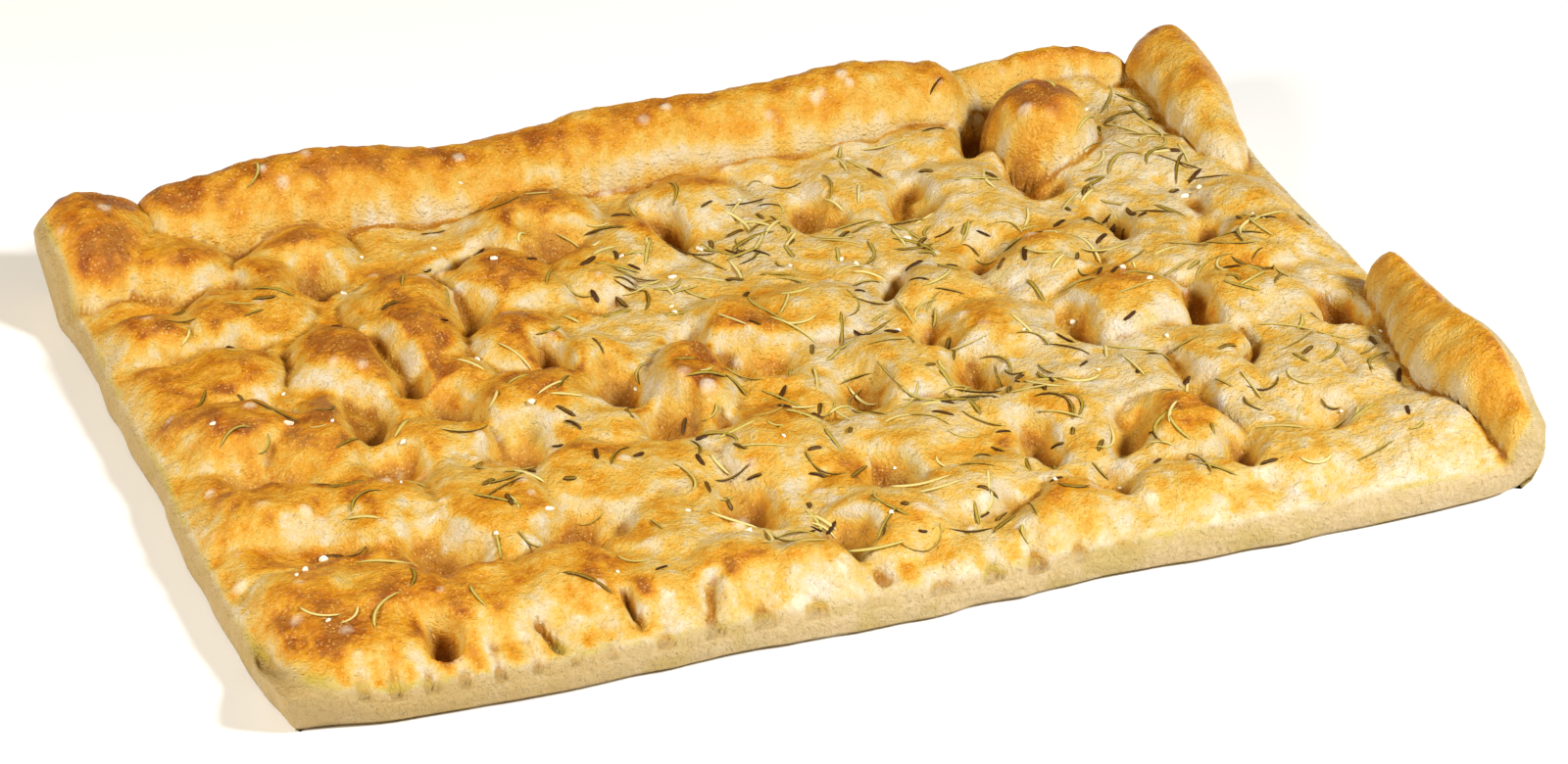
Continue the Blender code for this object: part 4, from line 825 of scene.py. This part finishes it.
def browning(x, y, z, on_roll, crest, normals, sunk):
    """How browned the crust is at each point, from 0 to MOST_BROWN; paler on flanks, with a
    painted highlight on those that face the camera.
    """
    turn = math.radians(CAMERA_AZIMUTH)
    away_x, away_y = -math.sin(turn), math.cos(turn)
    lift = (z - SPOT_LEVEL) / math.tan(math.radians(CAMERA_ELEVATION))
    seen_x, seen_y = wander(x + lift * away_x, y + lift * away_y)
    spots = np.zeros_like(x)
    for spot in ovals(SPOTS):
        part = spot.amount * within(seen_x, seen_y, spot, SPOT_GROW) ** SPOT_EDGE
        spots = smooth_max(spots, part, SPOT_BLEND)
    across = x / LENGTH + 0.5
    crest = crest * through(ACROSS_CREST, across)
    crust = CRUST_BROWN * on_roll * ramp(CRUST_LOW, CRUST_HIGH, z)
    spots = spots * (SPOT_LEAST + (1 - SPOT_LEAST) * np.maximum(crest * CREST_SHARPEN, on_roll))
    ground = through(ACROSS_BROWN, across) * (1 - np.clip(spots, 0, 1))
    tone = np.maximum(spots, crust) + ground
    slope = np.hypot(normals[:, 0], normals[:, 1]) + 1e-6
    # Flanks that face the camera are painted paler: a painted highlight
    facing = -(normals[:, 0] * away_x + normals[:, 1] * away_y) / slope
    front = ramp(*STREAK_REACH, WIDTH / 2 + y)
    pale = FLANK_PALE * (1 - ramp(*FLANK_LEVEL, normals[:, 2])) * (1 - ROLL_KEEPS * on_roll)
    pale = pale * (TURNED_PALE + (1 - TURNED_PALE) * ramp(*FACING_HIGHLIGHT, facing))
    pale = pale * (1 - PIT_KEEPS * sunk) * through(ACROSS_PALE, across)
    pale = pale * (FRONT_PALE + (1 - FRONT_PALE) * front)
    tone = (SPOT_FULL * tone + CREST_BROWN * crest) * (1 - pale)
    streak = noise(x, STREAK_STRETCH * y, STREAK) * (1 - front)
    streak = streak + noise(STREAK_STRETCH * x, y, STREAK) * on_roll
    mottle = noise(x, y, MOTTLE) + noise(x, y, MOTTLE_FINE)
    return np.clip(tone + mottle + streak, 0, MOST_BROWN)


def add_values(mesh, **fields):
    """Stores a number for each point of a mesh, under each name, for its material to read."""
    for name, values in fields.items():
        attribute = mesh.attributes.new(name, "FLOAT", "POINT")
        attribute.data.foreach_set("value", np.asarray(values, np.float32))


def add_thing(name, data):
    """A new object in the scene, with a mesh, a light or a camera."""
    thing = bpy.data.objects.new(name, data)
    bpy.context.scene.collection.objects.link(thing)
    return thing


def fitted(points):
    """The points stretched to the solid's box, and how far its middle lies from theirs."""
    low, high = (np.array(corner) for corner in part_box("focaccia"))
    own_low, own_high = points.min(axis=0), points.max(axis=0)
    shift = (low + high - own_low - own_high) / 2
    return low + (points - own_low) * ((high - low) / (own_high - own_low)), shift


def band_share(x, y, z, top_count):
    """1 on the upright sides and the base, fading to 0 on the top, which comes first."""
    edge = from_edge(x, y)
    over_band = np.maximum(ramp(*BAND_FADE, z - band_height(x, y)), ramp(*BAND_REACH, edge))
    side = 1 - over_band * ramp(0.0, BAND_EDGE, edge)
    side[top_count:] = 1
    return side


def skin(x, y, z, level, depth, hollow, side):
    """The fine relief of the skin, and two parts of it that its colour shows."""
    along = np.arctan2(y, x) * (LENGTH + WIDTH) / 4
    rough = noise(along * BAND_STRETCH, z + np.where(x < 0, *BAND_ROWS), BAND_ROUGH)
    bubble = dotted(x, y, BUBBLES) * ramp(*DOT_LEVEL, level)
    raised = noise(x, y, GRAIN) + noise(x, y, FINE_GRAIN) + dotted(x, y, BLISTERS)
    relief = raised + noise(x, y, SKIN_FOLD) + bubble + dotted(x, y, DIMPLES)
    relief = relief * (SMOOTHER + ROUGHER * np.clip(hollow + depth / ROUGH_DEPTH, 0, 1))
    relief = relief * (1 - side) + rough * side
    return relief * ramp(0.0, FOOT_FADE, z), raised, bubble


def make_dough():
    """The dough with its fine relief and values for its material, and the shift it took."""
    points, faces, top, depth, on_roll = make_slab()
    mesh = bpy.data.meshes.new("dough")
    mesh.from_pydata(points.tolist(), [], faces)
    normals = np.zeros(len(points) * 3, np.float32)
    mesh.vertex_normals.foreach_get("vector", normals)
    normals = normals.reshape(-1, 3)

    def whole(grid):
        return np.concatenate([grid.ravel(), np.zeros(len(points) - top.size)])

    def over_mean(reach):
        return top - blurred(top, int(round(reach / GRID_STEP)))

    depth, on_roll = whole(depth), whole(on_roll)
    above = np.clip(over_mean(CREST_REACH) / CREST_FULL, -1, 1)
    crest = whole(np.clip(above, 0, 1))
    foot = 1 - FOOT_KEEPS * ramp(*FOOT, on_roll)
    hollow = whole(np.clip(-above * CREST_FULL / HOLLOW_FULL, 0, 1)) * foot
    # Hollows and creases, where the material paints shade
    crease = whole(np.clip(-over_mean(CREASE_REACH) / CREASE_FULL, 0, 1)) * foot
    x, y, z = points.T
    side = band_share(x, y, z, top.size)
    relief, raised, bubble = skin(x, y, z, normals[:, 2], depth, hollow, side)
    skin_points, shift = fitted(points + normals * relief[:, None])
    mesh.vertices.foreach_set("co", skin_points.astype(np.float32).ravel())
    mesh.update()
    sunk = np.clip(depth / PIT_FULL + HOLLOW_COUNTS * hollow, 0, 1)
    brown = browning(x, y, z, on_roll, crest, normals, sunk)
    baked = through(ACROSS_BROWN, x / LENGTH + 0.5) / max(ACROSS_BROWN)
    # sunk, hollow and crease carry the painted shade of pits, hollows and creases; raised
    # carries a painted highlight on bumps
    add_values(mesh, brown=brown * (1 - side), rolled=on_roll,
               bubble=bubble / BUBBLES.height * (1 - side), sunk=np.clip(depth / PIT_DEEP, 0, 1),
               hollow=hollow, crease=crease, side=side, baked=baked,
               raised=np.clip(raised / BUMP_HIGHLIGHT_FULL, -1, 1) * (1 - side))
    mesh.shade_smooth()
    return add_thing("dough", mesh), (*shift[:2], 0.0)


def heights(tree, places):
    """Height of the dough at each place in the plan, and 0 beside it."""
    found = []
    for x, y in places:
        hit = tree.ray_cast(Vector((x, y, RAY_START)), Vector((0, 0, -1)))
        found.append(hit[0].z if hit[0] else 0.0)
    return np.array(found)


def needle_line(needle, share):
    """A point in the plan along a bent needle, for shares from -0.5 to 0.5."""
    x, y, heading, length, bend = needle
    turn = heading + bend * share * 2
    return x + math.cos(turn) * length * share, y + math.sin(turn) * length * share


def needle_path(needle, tree):
    """Points along a needle that rests on the highest places under it."""
    shares = np.linspace(-0.5, 0.5, NEEDLE_RINGS)
    places = [needle_line(needle, share) for share in shares]
    under = heights(tree, places)
    line = np.polyval(np.polyfit(shares, under, 2), shares)
    lift = (under - line).max()
    if lift > NEEDLE_MOST_LIFT or under.max() - under.min() > NEEDLE_MOST_RISE:
        return None
    return np.column_stack([np.array(places), line + NEEDLE_LIFT * lift])


def topping_share(x, y):
    """How likely a needle lies at a place: most in pits and right of the middle."""
    depth, on_roll = surface(x, y)[3:]
    sunk = np.clip(depth / NEEDLE_PIT_DEPTH, 0, 1)
    share = through(NEEDLES_ACROSS, x / LENGTH + 0.5) * ramp(*NEEDLE_EDGE, from_edge(x, y))
    thin_from, thin_to, thinned = NEEDLE_BACK
    share = share * (1 - (1 - thinned) * ramp(thin_from, thin_to, y)) * (1 - on_roll)
    return share * (NEEDLES_OUT_OF_PITS + (1 - NEEDLES_OUT_OF_PITS) * sunk)


def spread_needles(count, gap, lengths, seed):
    """Middle, heading, length and bend of each needle, by seeded draws."""
    draws = np.random.default_rng(seed).uniform(0, 1, (NEEDLE_TRIES, 6))
    xs = (draws[:, 0] - 0.5) * LENGTH
    ys = (draws[:, 1] - 0.5) * WIDTH
    shortest, longest = lengths
    needles = []
    for k in np.flatnonzero(topping_share(xs, ys) > draws[:, 2]):
        if any(math.hypot(xs[k] - n[0], ys[k] - n[1]) < gap for n in needles):
            continue
        heading = 2 * math.pi * draws[k, 3]
        length = shortest + (longest - shortest) * draws[k, 4]
        swing = 2 * draws[k, 5] - 1
        bend = NEEDLE_BEND * swing * abs(swing)
        needles.append((xs[k], ys[k], heading, length, bend))
        if len(needles) == count:
            break
    return needles


def gather_needles():
    """Needles lying together in hollows, by seeded draws round each place."""
    draw = np.random.default_rng(CLUSTER_SEED)
    needles = []
    for x, y, count, reach in CLUSTERS:
        for _ in range(count):
            away_by = reach * math.sqrt(draw.uniform(0, 1))
            turn = draw.uniform(0, 2 * math.pi)
            length = draw.uniform(*MORE_LENGTH)
            swing = draw.uniform(-1, 1)
            bend = MORE_BEND * swing * abs(swing)
            place = (x + away_by * math.cos(turn), y + away_by * math.sin(turn))
            needles.append((*place, draw.uniform(0, 2 * math.pi), length, bend))
    return needles


def needle_rings(path, width, twist):
    """Rings of points round a needle's path: flat, grooved on top, tapering to its tips."""
    ahead = np.gradient(path, axis=0)
    ahead /= np.linalg.norm(ahead, axis=1)[:, None]
    side = np.cross(ahead, (0.0, 0.0, 1.0))
    side /= np.linalg.norm(side, axis=1)[:, None]
    up = np.cross(side, ahead)
    across = side * math.cos(twist) + up * math.sin(twist)
    over = up * math.cos(twist) - side * math.sin(twist)
    share = np.abs(np.linspace(-1, 1, len(path)))
    half = (width / 2 * (1 - NEEDLE_TAPER * share ** NEEDLE_TAPER_POWER))[:, None]
    rings = []
    for k in range(NEEDLE_SIDES):
        turn = 2 * math.pi * (k + 0.5) / NEEDLE_SIDES
        out = math.cos(turn)
        rise = math.sin(turn) * NEEDLE_FLATNESS
        if rise > 0:
            rise *= 1 - NEEDLE_GROOVE * (1 - min(1, abs(out) / NEEDLE_GROOVE_HALF))
        rings.append(path + (across * out + over * (rise + NEEDLE_UP * NEEDLE_FLATNESS)) * half)
    return np.stack(rings, axis=1)


def make_needles(tree):
    """Every rosemary needle, in one mesh, with a tone for each."""
    needles = spread_needles(NEEDLE_COUNT, NEEDLE_GAP, NEEDLE_LENGTH, NEEDLE_SEED)
    needles += spread_needles(MORE_NEEDLES, MORE_GAP, MORE_LENGTH, NEEDLE_SEED + 1)
    needles += gather_needles()
    draw = np.random.default_rng(NEEDLE_SEED)
    around = np.abs(np.cos(2 * math.pi * (np.arange(NEEDLE_SIDES) + 0.5) / NEEDLE_SIDES))
    points, faces, tones = [], [], []
    for number, needle in enumerate(needles):
        width = draw.uniform(*NEEDLE_WIDTH)
        twist = draw.uniform(-NEEDLE_TWIST, NEEDLE_TWIST)
        tone = draw.uniform(0, 1)
        if number < NEEDLE_COUNT:
            tone = max(tone, DARK_NEEDLES)
        elif tone < DARK_NEEDLES:
            x, y, heading, length, bend = needle
            needle = (x, y, heading, length * DARK_LENGTH, bend * DARK_BEND)
            width *= DARK_WIDTH
        path = needle_path(needle, tree)
        if path is None:
            continue
        rings = np.arange(NEEDLE_RINGS * NEEDLE_SIDES).reshape(NEEDLE_RINGS, NEEDLE_SIDES)
        rings = (rings + len(points) * rings.size).tolist()
        for ring, onward in zip(rings, rings[1:]):
            for k in range(NEEDLE_SIDES):
                after = (k + 1) % NEEDLE_SIDES
                faces.append((ring[k], ring[after], onward[after], onward[k]))
        faces += [rings[0][::-1], rings[-1]]
        points.append(needle_rings(path, width, twist).reshape(-1, 3))
        tones.append(tone)
    mesh = bpy.data.meshes.new("rosemary")
    mesh.from_pydata(np.concatenate(points).tolist(), [], faces)
    add_values(mesh, tone=np.repeat(tones, NEEDLE_RINGS * NEEDLE_SIDES),
               rim=np.tile(around, len(points) * NEEDLE_RINGS))
    mesh.shade_smooth()
    return add_thing("rosemary", mesh)


def spread_salt():
    """Place, size and turn of each coarse salt crystal, by seeded draws."""
    draw = np.random.default_rng(SALT_SEED)
    crystals = []
    while len(crystals) < SALT_COUNT:
        x, y = draw.uniform(*SALT_AREA)
        size = draw.uniform(*SALT_SIZE)
        turn = draw.uniform(0, math.pi)
        if all(math.hypot(x - c[0], y - c[1]) > SALT_GAP for c in crystals):
            crystals.append((x, y, size, turn))
    return crystals


def make_salt(tree):
    """Every salt crystal, in one mesh: chipped lumps, half sunk in the dough."""
    crystals = spread_salt()
    draw = np.random.default_rng(SALT_SEED + 1)
    for _ in range(MORE_SALT):
        x, y = draw.uniform(*SALT_WHERE)
        crystals.append((x, y, draw.uniform(*FINE_SALT_SIZE), draw.uniform(0, math.pi)))
    shape = bmesh.new()
    for x, y, size, turn in crystals:
        z = heights(tree, [(x, y)])[0]
        lump = bmesh.ops.create_icosphere(shape, subdivisions=2, radius=size / 2)["verts"]
        chips = [Vector(draw.normal(size=3)).normalized() for _ in range(SALT_CHIPS)]
        spin = Matrix.Rotation(turn, 3, "Z")
        for vert in lump:
            for chip in chips:
                over = vert.co.dot(chip) - SALT_CHIP * size
                if over > 0:
                    vert.co -= chip * over
            stretched = Vector([side * share for side, share in zip(vert.co, SALT_STRETCH)])
            vert.co = spin @ stretched + Vector((x, y, z + SALT_UP * size))
    mesh = bpy.data.meshes.new("salt")
    shape.to_mesh(mesh)
    shape.free()
    return add_thing("salt", mesh)


class Field:
    """A number or colour that varies over a piece: an output of a node. Arithmetic with it
    adds a Math node for each step."""

    def __init__(self, recipe, socket):
        self.recipe = recipe
        self.socket = socket

    def math(self, operation, other):
        """One Math node with this field and another field or number."""
        return self.recipe.node("Math", {0: self, 1: other}, operation=operation)

    def __add__(self, other):
        return self.math("ADD", other)

    def __sub__(self, other):
        return self.math("SUBTRACT", other)

    def __mul__(self, other):
        return self.math("MULTIPLY", other)

    def most(self, other):
        """The larger of the two."""
        return self.math("MAXIMUM", other)

    def clamped(self):
        """Kept from 0 to 1 by its own Math node."""
        self.socket.node.use_clamp = True
        return self

    def stretch(self, low, high, to_low=0.0, to_high=1.0):
        """Runs smoothly from to_low, where the field is low, to to_high, where it is high."""
        inputs = dict(enumerate((self, low, high, to_low, to_high)))
        return self.recipe.node("MapRange", inputs, interpolation_type="SMOOTHSTEP")

    def mixed(self, colour, share):
        """This colour with another over it, by a share."""
        over = (*colour, 1.0) if isinstance(colour, tuple) else colour
        return self.recipe.node("Mix", {0: share, 6: self, 7: over}, 2, data_type="RGBA")

    def ramp(self, stops):
        """A colour for each value, between the stops."""
        field = self.recipe.node("ValToRGB", {0: self}, "Color")
        elements = field.socket.node.color_ramp.elements
        while len(elements) < len(stops):
            elements.new(0.5)
        for element, (place, colour) in zip(elements, stops):
            element.position = place
            element.color = (*colour, 1.0)
        return field


class Recipe:
    """A material, and short calls that add its nodes. Each takes fields or plain values."""

    def __init__(self, name):
        self.material = bpy.data.materials.new(name)
        self.material.use_nodes = True
        self.tree = self.material.node_tree
        self.place = self.node("TexCoord", {}, "Object")

    def put(self, socket, value):
        """Gives an input a field or a plain value, or leaves it as it is."""
        if isinstance(value, Field):
            self.tree.links.new(value.socket, socket)
        elif value is not None:
            socket.default_value = value

    def node(self, kind, inputs, output=0, **settings):
        """A new node's output, as a field."""
        node = self.tree.nodes.new("ShaderNode" + kind)
        for name, setting in settings.items():
            setattr(node, name, setting)
        for name, value in inputs.items():
            self.put(node.inputs[name], value)
        return Field(self, node.outputs[output])

    def attribute(self, name):
        """The value that add_values stored under a name."""
        return self.node("Attribute", {}, "Fac", attribute_name=name)

    def noise(self, scale, detail=3.0, roughness=0.55, distortion=0.0):
        """Smooth noise from 0 to 1, with its scale per metre."""
        return self.node("TexNoise", {"Vector": self.place, "Scale": scale, "Detail": detail,
                                      "Roughness": roughness, "Distortion": distortion}, "Fac")

    def cells(self, scale):
        """Distance from the nearest of many scattered points, in shares of their spacing."""
        return self.node("TexVoronoi", {"Vector": self.place, "Scale": scale}, "Distance")

    def bump(self, height, distance, normal=None):
        """A bumped normal, on top of another one if given."""
        return self.node("Bump", {"Height": height, "Distance": distance, "Normal": normal},
                         "Normal")

    def finish(self, colour, roughness, normal=None, **others):
        """Sets the shader's inputs, with _ for a space in their names."""
        shader = self.tree.nodes["Principled BSDF"]
        inputs = {"Base_Color": colour, "Roughness": roughness, "Normal": normal, **others}
        for name, value in inputs.items():
            self.put(shader.inputs[name.replace("_", " ")], value)
        return self.material


def wall_colour(r, porous):
    """The torn-looking sides: porous, oily in places, browner where they are well baked."""
    oily = r.noise(38, 3, 0.6).stretch(0.50, 0.64) * 0.55
    baked = r.attribute("baked").stretch(0.40, 1.0, 0.0, 0.62)
    wall = porous.ramp(WALL_COLOURS).mixed(OILY_WALL_COLOUR, oily)
    return wall.mixed(BAKED_WALL_COLOUR, baked)


def dough_material():
    """Baked dough: cream flanks, golden to brown crests, oily yellow pits, rough pale sides;
    painted shade in pits, hollows and creases, and a painted highlight on raised bumps.
    """
    r = Recipe("Baked dough")
    brown, sunk, hollow, side = map(r.attribute, ("brown", "sunk", "hollow", "side"))
    drift = (r.noise(70, 4, 0.6, 0.4) - 0.5) * 0.16
    drift = drift + (r.noise(260, 3, 0.55, 0.3) - 0.5) * 0.12
    drift = drift + (r.noise(520, 3, 0.6) - 0.5) * 0.46
    drift = drift * r.attribute("rolled").stretch(0.0, 1.0, 1.0, 0.45)
    # Pits and hollows are browned towards a warm orange: painted shade
    pit = sunk.stretch(0.15, 0.90, 0.0, 0.86).most(hollow.stretch(0.12, 0.85, 0.0, 0.70))
    pit = pit * r.noise(120, 3, 0.6).stretch(0.30, 0.62, 0.62, 1.15)
    tone = (brown + drift).clamped().most(pit + drift * 0.7).clamped()
    # Raised bumps of the skin are painted paler: a painted highlight
    tone = (tone - r.attribute("raised") * 0.24).clamped()
    # Oil in pits and hollows, partly real oil and partly painted warm shade
    oil_and_shade = ((sunk + hollow * 0.6) * 0.50).clamped() * r.noise(110, 2).stretch(0.30, 0.62)
    # Painted shade along creases
    crease = r.attribute("crease").stretch(0.15, 0.90, 0.0, 0.92)
    crease = crease * r.noise(60, 2).stretch(0.35, 0.60, 0.50, 1.0)
    speck = r.cells(760).stretch(0.36, 0.12) * r.noise(150, 2).stretch(0.35, 0.62, 0.15, 0.62)
    blotch = r.noise(125, 3, 0.6).stretch(0.55, 0.70) * tone.stretch(0.42, 0.16)
    pale = r.attribute("bubble").stretch(0.05, 0.90, 0.0, 0.62).most(blotch * 0.55)
    pool = r.noise(44, 3, 0.6).stretch(0.53, 0.66) * brown.stretch(0.34, 0.12) * 0.50
    rind = side.stretch(0.02, 0.45) * side.stretch(0.98, 0.55)
    rind = rind * r.noise(52, 3, 0.6).stretch(0.44, 0.60, 0.0, 0.75)
    # Painted shade at the bottoms of pits
    deep = sunk.stretch(0.62, 1.0, 0.0, 0.75)
    porous = r.noise(560, 4, 0.62, 0.2)
    on_wall = (side + r.noise(90, 4) * 0.9).stretch(0.55, 1.55)
    colour = tone.ramp(CRUST_COLOURS)
    for over, share in ((OIL_AND_SHADE_COLOUR, oil_and_shade), (DEEP_SHADE_COLOUR, deep), (CREASE_SHADE_COLOUR, crease),
                        (SPECK_COLOUR, speck), (BUBBLE_COLOUR, pale), (POOL_COLOUR, pool),
                        (wall_colour(r, porous), on_wall), (RIND_COLOUR, rind)):
        colour = colour.mixed(over, share)
    normal = None
    for scale, detail, roughness, height in SKIN_BUMPS:
        normal = r.bump(r.noise(scale, detail, roughness), height, normal)
    normal = r.bump(r.cells(620).stretch(0.42, 0.10), BLISTER_BUMP, normal)
    normal = r.bump(porous * side, PORE_BUMP, normal)
    return r.finish(colour, r.noise(95, 3) * 0.30 + side * 0.22 + 0.15, normal,
                    Subsurface_Weight=0.12, Subsurface_Scale=0.003,
                    Subsurface_Radius=(1.0, 0.55, 0.20), Specular_IOR_Level=0.34,
                    Specular_Tint=(1.0, 0.94, 0.84, 1.0))


def needle_material():
    """Baked rosemary: olive green, straw and nearly black needles, streaked along."""
    r = Recipe("Rosemary")
    streak = r.noise(900, 3, 0.6)
    shade = r.attribute("tone") + (streak - 0.5) * 0.35
    shade = (shade - r.attribute("rim").stretch(0.45, 0.95, -0.10, 0.34)).clamped()
    return r.finish(shade.ramp(NEEDLE_COLOURS), 0.42, r.bump(streak, NEEDLE_BUMP),
                    Specular_IOR_Level=0.16)


def salt_material():
    """Coarse salt, cloudy white and a little see-through at its edges."""
    r = Recipe("Coarse salt")
    cloud = r.noise(700, 3, 0.6)
    return r.finish(cloud.ramp(SALT_COLOURS), 0.30, r.bump(cloud, SALT_BUMP),
                    Subsurface_Weight=0.35, Subsurface_Scale=0.002,
                    Subsurface_Radius=(1.0, 0.9, 0.75))


def make_floor():
    """A pale table top, just below the base."""
    mesh = bpy.data.meshes.new("floor")
    corners = [(side_x * FLOOR_REACH, side_y * FLOOR_REACH, 0)
               for side_x, side_y in ((-1, -1), (1, -1), (1, 1), (-1, 1))]
    mesh.from_pydata(corners, [], [(0, 1, 2, 3)])
    floor = add_thing("floor", mesh)
    floor.location.z = -FLOOR_DROP
    material = Recipe("Pale floor").finish(FLOOR_COLOUR, 0.9, Specular_IOR_Level=0.1)
    mesh.materials.append(material)


def make_lights():
    """The room's warm light and the round lamps in it."""
    scene = bpy.context.scene
    scene.world = bpy.data.worlds.new("Studio")
    scene.world.use_nodes = True
    background = scene.world.node_tree.nodes["Background"]
    background.inputs["Color"].default_value = ROOM_COLOUR
    background.inputs["Strength"].default_value = ROOM_STRENGTH
    for name, place, aim, size, power, colour in LIGHTS:
        light = bpy.data.lights.new(name, "AREA")
        light.shape = "DISK"
        light.size = size
        light.energy = power
        light.color = colour
        lamp = add_thing(name, light)
        lamp.location = place
        beam = Vector(aim) - Vector(place)
        lamp.rotation_euler = beam.to_track_quat("-Z", "Y").to_euler()
    scene.view_settings.view_transform = "Standard"
    scene.view_settings.look = "None"


def make_camera(shift):
    """The photo's camera, moved with the slab."""
    turn = math.radians(CAMERA_AZIMUTH)
    rise = math.radians(CAMERA_ELEVATION)
    right = Vector((math.cos(turn), math.sin(turn), 0))
    level = math.cos(rise)
    back = Vector((math.sin(turn) * level, -math.cos(turn) * level, math.sin(rise)))
    data = bpy.data.cameras.new("camera")
    data.sensor_width = SENSOR
    data.lens = CAMERA_LENS
    data.clip_end = CAMERA_SEES
    camera = add_thing("camera", data)
    place = Vector(CAMERA_TARGET) + Vector(shift) + back * CAMERA_DISTANCE
    turned = Matrix((right, back.cross(right), back)).transposed().to_4x4()
    camera.matrix_world = Matrix.Translation(place) @ turned
    bpy.context.scene.camera = camera


def main():
    """The whole scene, with the dough fitted to the solid's box and the solid hidden."""
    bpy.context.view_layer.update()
    make_lights()
    make_floor()
    dough, shift = make_dough()
    make_camera(shift)
    tree = BVHTree.FromPolygons([vertex.co.copy() for vertex in dough.data.vertices],
                                [tuple(face.vertices) for face in dough.data.polygons])
    rosemary = make_needles(tree)
    salt = make_salt(tree)
    for piece, slot, material in ((dough, "crust", dough_material()),
                                  (rosemary, "rosemary", needle_material()),
                                  (salt, "salt", salt_material())):
        piece.data.materials.append(material)
        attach(piece, "root")
    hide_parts("focaccia")


main()
